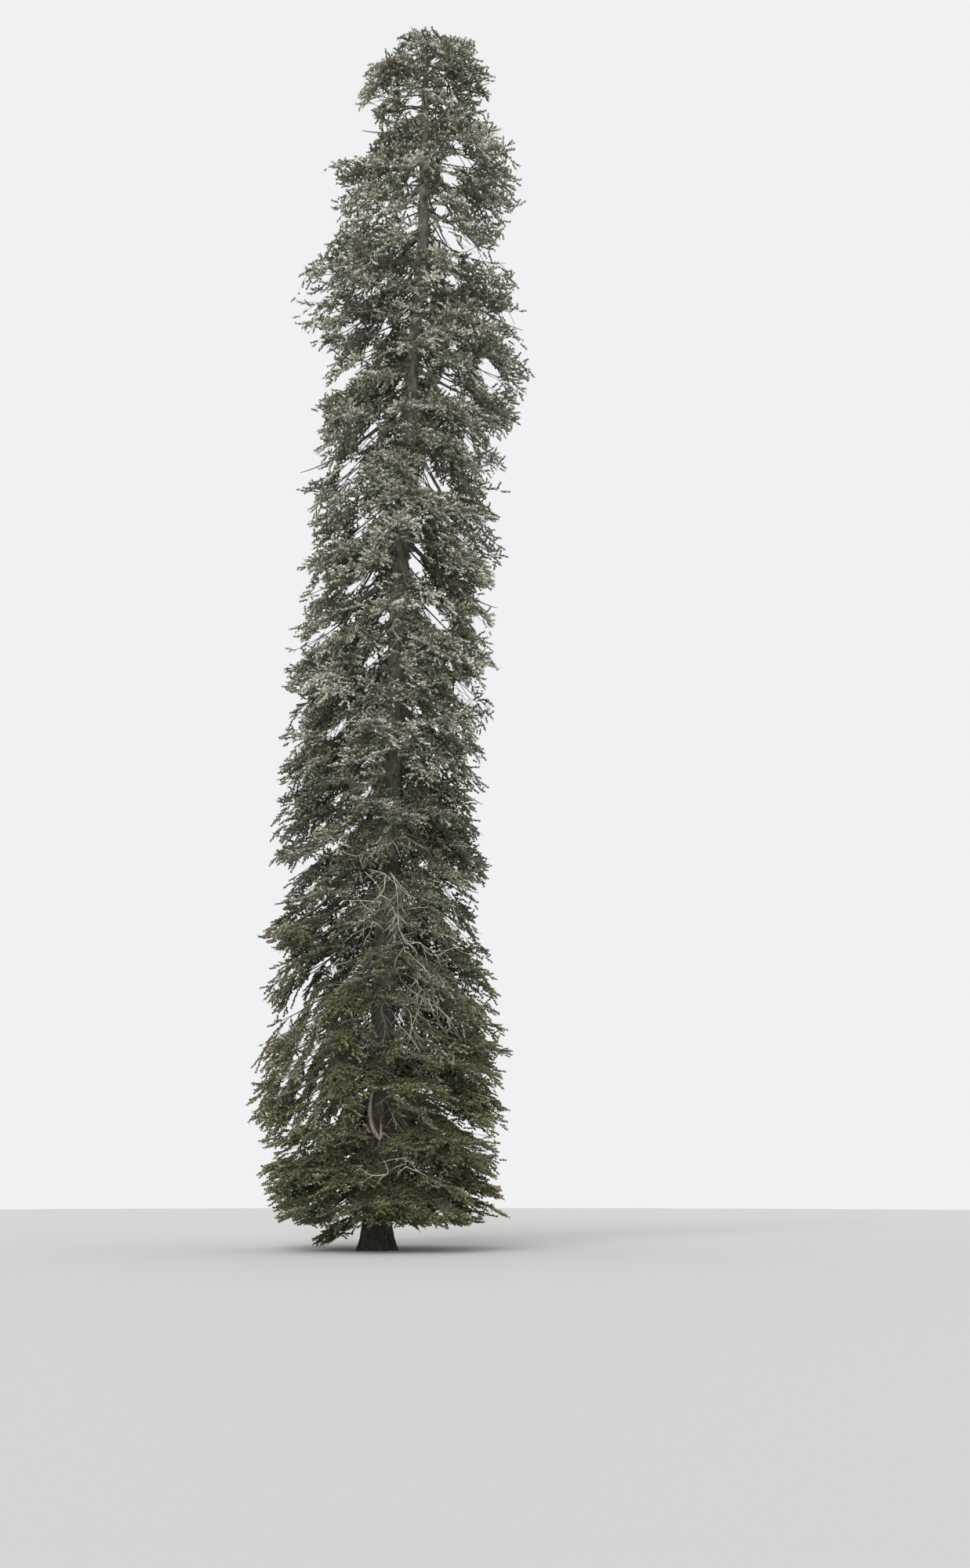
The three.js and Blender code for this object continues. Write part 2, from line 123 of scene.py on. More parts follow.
# Twigs along a bough, in pairs
TWIG_STEP = 0.21
LEAST_PAIRS = 3
PAIR_JITTER = (0.2, 0.8)
LAST_TWIG = 0.99
# Rows of height and how much of a bough is bare, next to the trunk
BARE_PART = [(0, 0.3), (3, 0.35), (5, 0.5), (10, 0.42), (13, 0.25), (20, 0.14), (34, 0.1)]
TWIG_LENGTH = 0.64
LENGTH_SPREAD = (0.7, 1.15)
FULL_REACH = 3  # reach of a bough whose twigs have their full length
TWIG_SIZE = (0.62, 1.1)  # least and greatest part of that length
TWIG_PROFILE = ([0, 0.35, 0.7, 0.9, 1.0], [0.5, 0.85, 1.0, 0.85, 0.6])
TWIG_ANGLE = (1.2, 0.55)  # from the bough's line, at its foot and at its tip
ANGLE_SPREAD = 0.8
TWIG_TILT = (0.8, 0.2)  # spread of the tilt out of the spray's plane, on hanging and on level sprays
TWIG_BEND = np.array([0, 0.5, 1])  # places of a twig's points
TWIG_SAG = 0.45
SAG_SPREAD = (0.4, 1.6)
LEVEL_SAG = 0.15  # part of the sag that is left on level sprays
LEVELLING = 0.75  # part of the slope that is taken off there
LEVEL_NORMAL = 1.5
TWIG_RADIUS = 0.009
DEAD_TWIG_RADIUS = 0.014
TWIG_TAPER = np.array([1, 0.7])  # at its foot and halfway
CLUMP_SCALE = 1.2  # twigs are longer in some places and missing in others
CLUMP_RANGE = (-0.45, 0.3)
CLUMP_LENGTH = (0.55, 1.15)
LEAST_FULLNESS = 0.06
# Rows of height and the share of the twigs that is missing
SPARSE_ABOVE = [(13, 0), (19, 0.05), (27, 0.08), (31, 0.24), (34, 0.36)]
# Rows of height and how level the sprays lie
LEVEL_SPRAYS = [(4, 0.5), (8, 0.35), (13, 0)]

# Shoots along a twig and needles round a shoot
SHOOT_STEP = 0.11
SHOOT_LENGTH = (0.18, 0.34)
SHOOT_ANGLE = 0.7
FIRST_SHOOT = 0.8  # in steps from the twig's foot, then how many steps more a twig has than shoots
STEPS_MORE = 0.4
NEAR_TIP = 0.999
SHOOT_RISE = [(4, 0.2), (15, 0.6), (34, 0.8)]  # rows of height and how far shoots turn upwards there
TWIG_RISE = 1.1  # most that chance turns all shoots of a twig upwards
RISE_SPREAD = (-0.4, 0.4)
NEEDLES = 12
FIRST_NEEDLE = 0.6  # in steps from the shoot's foot
NEEDLE_FOOT = 0.19  # half of a needle's foot, as a share of its shoot
NEEDLE_REACH = 0.042
NEEDLE_FORWARD = 0.04
NEEDLE_UPPER_PAINTED_LIGHT = 1.3  # painted light: how many tints lighter the needles on a shoot's upper side are, where light from above falls
NEEDLE_TIP_PAINTED_LIGHT = 2.2  # and how many from the shoot's foot to its tip: painted shade at the foot, painted light at the tip

# The crown's foliage is joined in bands: the number of the first mass of each, from the ground up
BAND_STARTS = [0, 5, 10, 16, 22, 28]


# Plain arithmetic on numbers and arrays

def lerp(start, end, share):
    return start + (end - start) * share


def chance(seed):
    """A repeatable number from 0 to 1 for each whole number. What is added to a seed keeps draws apart."""
    wave = np.sin(np.asarray(seed) * 12.9898 + 4.1) * 43758.5453
    return wave - np.floor(wave)


def draw(spread, seed):
    """A number between the two ends of a spread, by chance."""
    return lerp(*spread, chance(seed))


def read_table(table, height, column=1):
    rows = np.array(table, dtype=float)
    return np.interp(height, rows[:, 0], rows[:, column])


def read_both(table, height):
    return [read_table(table, height, column) for column in (1, 2)]


def turned(ahead, aside, angle):
    """Vectors that point ahead, turned aside by an angle each."""
    return ahead * np.cos(angle)[:, None] + aside * np.sin(angle)[:, None]


def turns_round(count):
    return 2 * np.pi * np.arange(count) / count


def one_side(number):
    """1 for even numbers and -1 for odd ones."""
    return 1 - 2 * (number % 2)


def unit(vectors):
    return vectors / np.maximum(np.linalg.norm(vectors, axis=-1, keepdims=True), 1e-9)


def wrap_angle(angle):
    return np.arctan2(np.sin(angle), np.cos(angle))


# The crown's rule

def lean_at(height):
    return read_table(TRUNK_LEAN, height)


def reach_at(height, azimuth):
    right = (1 + np.cos(azimuth)) / 2
    return lerp(*read_both(CROWN_REACH, height), right)


def crown_point(shelf, azimuth, share):
    share = np.asarray(share, dtype=float)
    fallen = FALL_EARLY * share - (FALL_EARLY - 1) * share**3
    height = shelf + 0 * share
    for _ in range(FALL_ROUNDS):
        height = shelf - read_table(BOUGH_FALL, height) * fallen
    radius = share * reach_at(height, azimuth)
    x = lean_at(height) + radius * np.cos(azimuth)
    return np.stack([x, radius * np.sin(azimuth), height], axis=-1)


# Shelf and azimuth of each mass's main bough
MASSES = np.array([
    (lerp(LOWEST_SHELF, HIGHEST_SHELF, (k + 0.5) / MASS_COUNT), FIRST_AZIMUTH + k * GOLDEN_ANGLE)
    for k in range(MASS_COUNT)
])


def nearest_mass(shelf, azimuth):
    around = CELL_RADIUS * wrap_angle(azimuth[:, None] - MASSES[:, 1])
    return np.argmin(np.hypot(around, shelf[:, None] - MASSES[:, 0]), axis=1)


def low_edge_at(azimuth):
    return lerp(LOW_EDGE, LOW_EDGE_LEFT, np.maximum(0, -np.cos(azimuth)) ** 2)


# Meshes

def add_object(name, data):
    obj = bpy.data.objects.new(name, data)
    bpy.context.scene.collection.objects.link(obj)
    return obj


def make_mesh(name, points, faces, materials, face_materials=None, smooth=False):
    """A mesh object from an array of points and an array of faces, all with as many corners."""
    mesh = bpy.data.meshes.new(name)
    mesh.vertices.add(len(points))
    mesh.vertices.foreach_set("co", np.asarray(points, dtype=np.float32).ravel())
    corners = faces.shape[1]
    mesh.loops.add(faces.size)
    mesh.loops.foreach_set("vertex_index", faces.astype(np.int32).ravel())
    mesh.polygons.add(len(faces))
    mesh.polygons.foreach_set("loop_start", np.arange(len(faces), dtype=np.int32) * corners)
    for material in materials:
        mesh.materials.append(material)
    if face_materials is not None:
        mesh.polygons.foreach_set("material_index", face_materials.astype(np.int32))
    mesh.polygons.foreach_set("use_smooth", np.full(len(faces), smooth))
    mesh.update(calc_edges=True)
    return add_object(name, mesh)


def rings_round(middles, along, radii, sides):
    """A ring of points round each middle, square to its direction along."""
    across = unit(np.cross(along, UP))
    over = np.cross(across, along)
    turns = turns_round(sides)[:, None]
    ring = np.cos(turns) * across[..., None, :] + np.sin(turns) * over[..., None, :]
    return middles[..., None, :] + np.asarray(radii)[..., None, None] * ring


def tube_points(lines, radii, sides):
    """Rings of points round one line or many, as an array that ends in rings by sides by 3."""
    return rings_round(lines, unit(np.gradient(lines, axis=-2)), radii, sides)


def fan(sides):
    return np.array([[0, i, i + 1] for i in range(1, sides - 1)])


def tube_faces(rings, sides):
    """Triangles between neighbouring rings, with the last ring closed by a fan."""
    ring, side = np.meshgrid(np.arange(rings - 1), np.arange(sides), indexing="ij")
    here = (ring * sides + side).ravel()
    beside = (ring * sides + (side + 1) % sides).ravel()
    lower = np.stack([here, beside, beside + sides], 1)
    upper = np.stack([here, beside + sides, here + sides], 1)
    return np.concatenate([lower, upper, fan(sides) + (rings - 1) * sides])


class Joined:
    """Many shapes gathered into one mesh. What is added at once is one shape or many with the same faces."""

    def __init__(self):
        self.points, self.faces, self.tints, self.count = [], [], [], 0

    def add(self, points, faces, tint=0):
        shapes = points.reshape(-1, faces.max() + 1, 3)
        starts = self.count + np.arange(len(shapes)) * shapes.shape[1]
        self.points.append(shapes.reshape(-1, 3))
        self.faces.append((faces + starts[:, None, None]).reshape(-1, 3))
        self.tints.append(np.repeat(np.broadcast_to(tint, len(shapes)), len(faces)))
        self.count += len(self.points[-1])

    def add_tubes(self, lines, radii, sides, tint=0):
        self.add(tube_points(lines, radii, sides), tube_faces(lines.shape[-2], sides), tint)

    def build(self, name, materials):
        points, faces = np.concatenate(self.points), np.concatenate(self.faces)
        return make_mesh(name, points, faces, materials, np.concatenate(self.tints), smooth=True)


# Materials

DARK_AND_LIGHT = (0.36, 0.66)  # noise values of a pattern's two colours


def srgb(red, green, blue):
    """Linear colour from the 0 to 255 numbers of a picture."""
    def linear(value):
        value /= 255
        return value / 12.92 if value <= 0.04045 else ((value + 0.055) / 1.055) ** 2.4
    return (linear(red), linear(green), linear(blue), 1)


def set_inputs(node, **values):
    """Set inputs of a node, or link them where an output is given, with _ for each space in their names."""
    for name, value in values.items():
        socket = node.inputs[name.replace("_", " ")]
        if isinstance(value, bpy.types.NodeSocket):
            node.id_data.links.new(value, socket)
        else:
            socket.default_value = value


def add_node(material, kind, **values):
    node = material.node_tree.nodes.new("ShaderNode" + kind)
    set_inputs(node, **values)
    return node


def plain_material(name, colour, roughness, specular=0.3):
    material = bpy.data.materials.new(name)
    material.use_nodes = True
    shader = material.node_tree.nodes["Principled BSDF"]
    set_inputs(shader, Base_Color=colour, Roughness=roughness, Specular_IOR_Level=specular)
    return material


def patterned_material(name, dark, light, scale, stretch, bump):
    """Two colours mixed by noise stretched along Z, with a bump from the same noise."""
    material = plain_material(name, light, roughness=0.9, specular=0.2)
    place = add_node(material, "TexCoord").outputs["Object"]
    stretched = add_node(material, "Mapping", Vector=place, Scale=(1, 1, stretch)).outputs["Vector"]
    noise_node = add_node(material, "TexNoise", Vector=stretched, Scale=scale, Detail=8, Roughness=0.65)
    grain = noise_node.outputs["Fac"]
    ramp = add_node(material, "ValToRGB", Fac=grain)
    for end, value, colour in zip(ramp.color_ramp.elements, DARK_AND_LIGHT, (dark, light)):
        end.position = value
        end.color = colour
    relief = add_node(material, "Bump", Strength=bump, Distance=0.02, Height=grain)
    shader = material.node_tree.nodes["Principled BSDF"]
    set_inputs(shader, Base_Color=ramp.outputs["Color"], Normal=relief.outputs["Normal"])
    return material


def darken_foot(material, shade, height):
    """Darken a material evenly from this height down to the ground, where little light comes."""
    links = material.node_tree.links
    base = material.node_tree.nodes["Principled BSDF"].inputs["Base Color"]
    place = add_node(material, "TexCoord").outputs["Object"]
    apart = add_node(material, "SeparateXYZ", Vector=place)
    rise = add_node(material, "MapRange", Value=apart.outputs["Z"], From_Max=height, To_Min=shade)
    darker = add_node(material, "VectorMath")
    darker.operation = "MULTIPLY"
    links.new(base.links[0].from_socket, darker.inputs[0])
    links.new(rise.outputs["Result"], darker.inputs[1])
    links.new(darker.outputs["Vector"], base)


# Growing the crown

def smooth_step(value, start, end):
    """0 before start and 1 after end, with a smooth rise between them."""
    share = np.clip((value - start) / (end - start), 0, 1)
    return share * share * (3 - 2 * share)


def point_on(lines, which, place):
    """Points and directions at places from 0 to 1 along the lines that which picks."""
    last = lines.shape[1] - 1
    step = np.clip((place * last).astype(int), 0, last - 1)
    start, end = lines[which, step], lines[which, step + 1]
    return start + (end - start) * (place * last - step)[:, None], unit(end - start)


def share_out(counts):
    """For each of the items that counts deals out: its owner, and its rank with that owner."""
    owner = np.repeat(np.arange(len(counts)), counts)
    first = np.concatenate([[0], np.cumsum(counts)[:-1]])
    return owner, np.arange(len(owner)) - first[owner]


# What the viewer sees, in the picture's pixels, measured.
# Rows of height in the picture and the crown's left and right edge there
OUTLINE = [
    (33, 536, 547), (40, 524, 550), (50, 506, 601), (62, 504, 599), (72, 502, 600), (80, 470, 623),
    (100, 459, 630), (108, 458, 620), (120, 463, 637), (130, 460, 625), (140, 462, 618), (155, 482, 622),
    (170, 486, 640), (180, 482, 658), (190, 480, 664), (198, 474, 658), (202, 425, 656), (212, 414, 660),
    (222, 416, 645), (230, 430, 668), (240, 442, 678), (247, 425, 676), (254, 415, 672), (262, 426, 668),
    (272, 430, 647), (288, 432, 646), (300, 424, 638), (312, 418, 632), (322, 412, 630), (330, 396, 645),
    (342, 386, 663), (355, 382, 662), (368, 376, 667), (384, 374, 662), (395, 420, 680), (402, 381, 640),
    (415, 388, 648), (428, 395, 662), (442, 404, 674), (452, 418, 676), (468, 415, 674), (482, 406, 678),
    (490, 410, 655), (500, 424, 668), (515, 408, 670), (530, 412, 670), (545, 416, 662), (555, 396, 638),
    (570, 405, 644), (582, 408, 652), (592, 404, 645), (605, 392, 640), (618, 372, 654), (628, 396, 640),
    (640, 400, 622), (660, 395, 636), (680, 397, 624), (690, 396, 652), (702, 400, 646), (718, 376, 642),
    (730, 383, 634), (745, 392, 646), (760, 370, 622), (770, 392, 630), (780, 385, 642), (792, 390, 636),
    (800, 359, 640), (812, 368, 630), (825, 364, 614), (840, 378, 624), (855, 364, 626), (868, 372, 610),
    (877, 360, 606), (890, 377, 612), (900, 376, 622), (920, 372, 628), (942, 360, 620), (955, 372, 616),
    (968, 370, 612), (980, 352, 606), (992, 362, 612), (1005, 366, 624), (1020, 349, 624), (1032, 362, 622),
    (1050, 352, 620), (1070, 336, 626), (1085, 346, 618), (1103, 341, 624), (1118, 368, 618),
    (1132, 360, 622), (1152, 337, 624), (1170, 343, 627), (1190, 330, 627), (1208, 348, 624),
    (1222, 361, 626), (1240, 345, 628), (1262, 332, 632), (1280, 330, 636), (1295, 344, 640),
    (1316, 352, 645), (1325, 338, 646), (1338, 319, 646), (1352, 325, 646), (1372, 315, 644),
    (1392, 326, 644), (1412, 317, 642), (1440, 324, 642), (1462, 328, 644), (1470, 344, 640),
    (1482, 331, 640), (1505, 327, 645), (1520, 334, 646), (1540, 344, 646), (1558, 352, 640),
    (1566, 398, 606), (1590, 400, 520),
]
# Openings as middle and half size. Through the front ones the trunk shows, through the others the sky.
FRONT_OPENINGS = [
    (543, 292, 11, 36), (526, 478, 10, 26), (512, 718, 13, 24), (505, 832, 10, 15), (508, 863, 9, 8),
    (510, 915, 12, 14), (502, 985, 13, 24), (490, 1308, 14, 26), (483, 1424, 17, 40), (534, 1205, 24, 14),
    (484, 1586, 34, 14),
]
SKY_OPENINGS = [
    (526, 134, 12, 14), (485, 127, 12, 7), (472, 141, 8, 5), (501, 150, 8, 6), (525, 229, 7, 5),
    (583, 188, 12, 5), (589, 208, 14, 9), (567, 210, 6, 7), (572, 228, 14, 8), (492, 262, 7, 6),
    (526, 268, 8, 11), (562, 268, 10, 7), (571, 302, 18, 21), (604, 322, 24, 8), (634, 328, 20, 5),
    (522, 294, 10, 4), (520, 402, 8, 5), (575, 358, 10, 8), (490, 357, 8, 6), (418, 352, 8, 7),
    (408, 382, 12, 8), (428, 452, 7, 8), (447, 418, 13, 9), (428, 398, 10, 6), (490, 419, 8, 8),
    (471, 451, 9, 12), (452, 474, 12, 9), (437, 488, 8, 12), (540, 475, 5, 16), (512, 490, 7, 6),
    (572, 492, 13, 14), (622, 478, 14, 20), (482, 545, 14, 9), (468, 565, 14, 6), (446, 604, 16, 13),
    (600, 566, 8, 12), (546, 614, 18, 11), (546, 592, 5, 8), (477, 659, 22, 6), (459, 678, 7, 9),
    (590, 685, 9, 6), (533, 700, 7, 6), (531, 722, 8, 20), (469, 737, 15, 9), (446, 750, 9, 6),
    (405, 757, 16, 7), (473, 755, 10, 4), (556, 789, 20, 12), (610, 797, 11, 14), (491, 787, 9, 8),
    (450, 790, 7, 6), (413, 810, 24, 8), (474, 843, 10, 6), (491, 830, 5, 9), (590, 886, 14, 11),
    (573, 850, 6, 5), (430, 930, 18, 9), (531, 906, 8, 6), (515, 920, 6, 7), (470, 1010, 10, 7),
    (431, 1018, 6, 7), (447, 1058, 7, 5), (428, 1080, 8, 6), (398, 1097, 10, 5), (386, 1112, 8, 5),
    (573, 1140, 9, 9), (575, 1178, 8, 6), (594, 1194, 7, 6), (540, 1103, 6, 5), (395, 1135, 10, 6),
    (402, 1238, 9, 6), (418, 1226, 8, 6), (388, 1262, 11, 8), (372, 1272, 8, 6), (404, 1276, 7, 6),
    (380, 1292, 9, 7), (367, 1304, 11, 8), (396, 1306, 7, 6), (412, 1312, 6, 7), (384, 1330, 9, 7),
    (404, 1338, 7, 8), (418, 1352, 5, 8), (392, 1360, 9, 9), (374, 1358, 9, 7), (408, 1376, 6, 8),
    (384, 1390, 10, 8), (362, 1384, 10, 7), (400, 1402, 9, 8), (416, 1412, 6, 6), (392, 1426, 8, 5),
    (372, 1430, 9, 6), (375, 1465, 9, 5), (430, 1424, 7, 5),
]
OPENING_FRAY = (0.4, 1.4)  # least and greatest reach of an opening for a spray, squared
OPENING_RIPPLE = 0.5  # how far two crossing waves move an opening's edge, then their rates along x and y
RIPPLE_WAVES = [(0.31, 0.13), (-0.11, 0.37)]
SHOOT_JUDGED = 0.7  # the place on a shoot that an opening must not reach
CROSS_OPENINGS = 0.03  # share of the sprays that cross openings
STOPPED_AT_OPENINGS = 0.35  # share of the thin boughs that end at an opening, the others cross it
CUT_SAMPLES = 25  # places on a bough where it may end, of which those next to the trunk are passed
PASSED_SAMPLES = 5
CROWN_DEPTH = 3.6
METRES_PER_PIXEL = 0.0218  # in the upright plane through the trunk's foot
OUTLINE_MARGIN = (-27, 3)  # how far beyond the outline each bough is seen
MARGIN_SPREAD = (-6, 6)  # more or less for a twig
TWIG_MARGIN = 4
SHOOT_MARGIN = 5
SHORTER = (0.75, 0.7)  # a twig that passes the outline is shortened once, then once more
# Rows of height in the picture and how steeply openings fall outwards there, like the boughs beside them
OPENING_TILT = [(0, 0.6), (1200, 0.6), (1270, 1.6), (1430, 1.6), (1480, 0.6)]
FULL_TILT = 25  # at this distance from the trunk
# Where twigs hang down steeply
HANGING_REGIONS = [(395, 1335, 62, 115), (560, 1290, 50, 60)]
HANGING = 1.3
# Where many twigs on the viewer's side have died and are bare: middle, half size
DEAD_REGIONS = [
    (515, 1200, 90, 130), (486, 1494, 36, 10), (538, 1492, 26, 12), (545, 412, 16, 14), (504, 798, 14, 12),
]
DEAD_IN_FRONT = 0.5  # they stand at least this far in front of the trunk's middle
DEAD_BOUGHS = 0.14  # share of the boughs and of the other boughs' twigs that have died there
DEAD_TWIGS = 0.3
DEAD_STRETCH = (0.8, 2.4)  # how much longer bare twigs are
DEAD_SAG = (0.2, 2.2)
DEAD_LOST = 0.45  # share of the bare twigs that have fallen off


def in_picture(points):
    """Where the viewer sees points, in pixels from the picture's top left corner."""
    ray = points - np.array(EYE)
    depth, above = ray @ VIEW_AHEAD, ray @ VIEW_UP
    x = PICTURE_WIDTH / 2 + FOCAL_PIXELS * ray[..., 0] / depth
    y = PICTURE_HEIGHT / 2 + SHIFT_PIXELS - FOCAL_PIXELS * above / depth
    return x, y


def inside_outline(points, margin):
    """True for points within the crown's depth that the viewer sees inside its outline or this far beyond."""
    x, y = in_picture(points)
    left, right = read_both(OUTLINE, y)
    deep = np.abs(points[..., 1]) > CROWN_DEPTH + margin * METRES_PER_PIXEL
    return (x > left - margin) & (x < right + margin) & (y > OUTLINE[0][0]) & ~deep


def away_from(x, y, region):
    """Squared distance from the middle of a region of the picture, 1 at its edge."""
    middle_x, middle_y, half_width, half_height = region
    return ((x - middle_x) / half_width) ** 2 + ((y - middle_y) / half_height) ** 2


def seen_in(points, regions, edge=1, tilt=0):
    """True for each point that the viewer sees within the edge of one of these regions of the picture."""
    x, y = in_picture(points)
    inside = np.zeros(x.shape, dtype=bool)
    for region in regions:
        fallen = tilt * read_table(OPENING_TILT, region[1]) * (x - region[0])
        inside |= away_from(x, y - fallen, region) < edge
    return inside


def seen_through(points, seed):
    """True for each point that the viewer sees in an opening, with an edge that frays by chance."""
    x, y = in_picture(points)
    ripple = math.prod(np.sin(across * x + down * y) for across, down in RIPPLE_WAVES)
    fray = draw(OPENING_FRAY, seed) * (1 + OPENING_RIPPLE * ripple)
    trunk = in_picture(np.stack([lean_at(points[:, 2]), 0 * x, points[:, 2]], -1))[0]
    outward = np.clip((x - trunk) / FULL_TILT, -1, 1)
    in_front = seen_in(points, FRONT_OPENINGS, fray) & (points[:, 1] < 0)
    return seen_in(points, SKY_OPENINGS, fray, outward) | in_front


def dead_at(points, seed, share):
    """True for a share of the points, by chance, where sprays have died on the viewer's side."""
    return seen_in(points, DEAD_REGIONS) & (points[..., 1] < -DEAD_IN_FRONT) & (chance(seed) < share)


def cut_to_outline(lines, margin):
    """Shorten each line so that the viewer sees it no further out than its margin beyond the outline.

    Part of the lines end where they would cross an opening, and all end above the crown's lower edge.
    """
    samples = np.linspace(0, 1, CUT_SAMPLES)
    which = np.repeat(np.arange(len(lines)), len(samples))
    points, _ = point_on(lines, which, np.tile(samples, len(lines)))
    low_edge = low_edge_at(np.arctan2(points[:, 1], points[:, 0])) + LOWEST_TIP
    stopped = seen_through(points, which + 29) & (chance(which + 37) < STOPPED_AT_OPENINGS)
    inside = inside_outline(points, margin[which]) & (points[:, 2] > low_edge) & ~stopped
    inside = inside.reshape(len(lines), -1)
    inside[:, :PASSED_SAMPLES] = True
    kept = samples[np.minimum.accumulate(inside, axis=1).sum(axis=1) - 1]
    rings = np.linspace(0, 1, lines.shape[1])
    which = np.repeat(np.arange(len(lines)), len(rings))
    points, _ = point_on(lines, which, (kept[:, None] * rings).ravel())
    return points.reshape(lines.shape)


def bough_places(count, below_top, first_azimuth=0):
    """Shelf, azimuth and mass of each thin bough, gathered into whorls and towards its mass's middle."""
    number = np.arange(count)
    rise = ((number + 0.5) / count) ** SHELF_CROWDING
    shelf = lerp(LOWEST_SHELF - FIRST_SHELF_DROP, HIGHEST_SHELF - below_top, rise)
    azimuth = number * GOLDEN_ANGLE + first_azimuth
    mass = nearest_mass(shelf, azimuth)
    shelf = lerp(shelf, np.round(shelf / WHORL_STEP) * WHORL_STEP, WHORL_PULL)
    azimuth = azimuth + wrap_angle(MASSES[mass, 1] - azimuth) * BOUGH_PULL
    return shelf, azimuth, mass


def bough_line(shelf, azimuth, share, seed):
    """Points of the crown's rule at these shares, with a slow wave that makes each bough its own."""
    wave = np.sin(WAVE_RATE * share + 2 * np.pi * chance(seed + 5))
    lift = np.sin(LIFT_RATE * share + 2 * np.pi * chance(seed + 9))
    points = crown_point(shelf, azimuth + BOUGH_WAVE * wave * share, share)
    points[..., 2] += BOUGH_LIFT * lift * share
    return points


def grow_bough_lines():
    """Lines of the thin boughs, of their forks and of the short boughs, as (bough, ring, 3).

    Each line's mass, bare part, thickness at its foot and margin to the outline come with them.
    """
    shelf, azimuth, mass = bough_places(BOUGH_COUNT, BELOW_TOP)
    more_shelf, more_azimuth = np.array(MORE_BOUGHS).T
    shelf, azimuth = np.append(shelf, more_shelf), np.append(azimuth, more_azimuth)
    mass = np.append(mass, nearest_mass(more_shelf, more_azimuth))
    count = len(shelf)
    stem_seed = seed = np.arange(count)[:, None]
    shelf, azimuth = shelf[:, None], azimuth[:, None]
    rings = np.linspace(0, 1, BOUGH_RINGS)[None, :]
    edge = draw(BOUGH_EDGE, seed + 700)
    stems = bough_line(shelf, azimuth, lerp(BOUGH_FOOT_SHARE, edge, rings), seed)
    forks = []
    for side in FORKS:
        seed = seed + 1000
        fork = draw(FORK_SHARE, seed + 300)
        fork_azimuth = azimuth + side * FORK_TURN * draw(FORK_TURN_SPREAD, seed + 400)
        fork_shelf = shelf + draw(FORK_LIFT, seed + 500)
        share = lerp(fork, draw(BOUGH_EDGE, seed + 600), rings)
        apart = smooth_step(share, fork, fork + FORK_PARTING)[..., None]
        parted = bough_line(fork_shelf, fork_azimuth, share, stem_seed)
        forks.append(lerp(bough_line(shelf, azimuth, share, stem_seed), parted, apart))
    short_shelf, short_azimuth, short_mass = bough_places(SHORT_BOUGH_COUNT, SHORT_BELOW_TOP, first_azimuth=1)
    seed = np.arange(SHORT_BOUGH_COUNT)[:, None] + 5000
    edge = draw(SHORT_BOUGH_EDGE, seed)
    share = lerp(BOUGH_FOOT_SHARE, edge, rings)
    shorts = bough_line(short_shelf[:, None], short_azimuth[:, None], share, seed)
    counts = [count, count * len(FORKS), SHORT_BOUGH_COUNT]
    radius = np.repeat(FOOT_RADII, counts)
    bare = np.repeat([0, FORK_BARE, SHORT_BOUGH_BARE], counts)
    bare[:count] = read_table(BARE_PART, stems[:, -1, 2])
    masses = np.concatenate([np.tile(mass, 1 + len(FORKS)), short_mass])
    lines = np.concatenate([stems, *forks, shorts])
    margin = draw(OUTLINE_MARGIN, np.arange(len(lines)) + 61)
    margin[BOUGH_COUNT:count] = OUTLINE_MARGIN[1]
    return cut_to_outline(lines, margin), masses, bare, radius, margin


def twig_points(roots, heading, length, sag, bend=TWIG_BEND):
    points = roots[:, None, :] + (length[:, None] * bend)[..., None] * heading[:, None, :]
    points[:, :, 2] -= (sag * length)[:, None] * bend**2
    return points


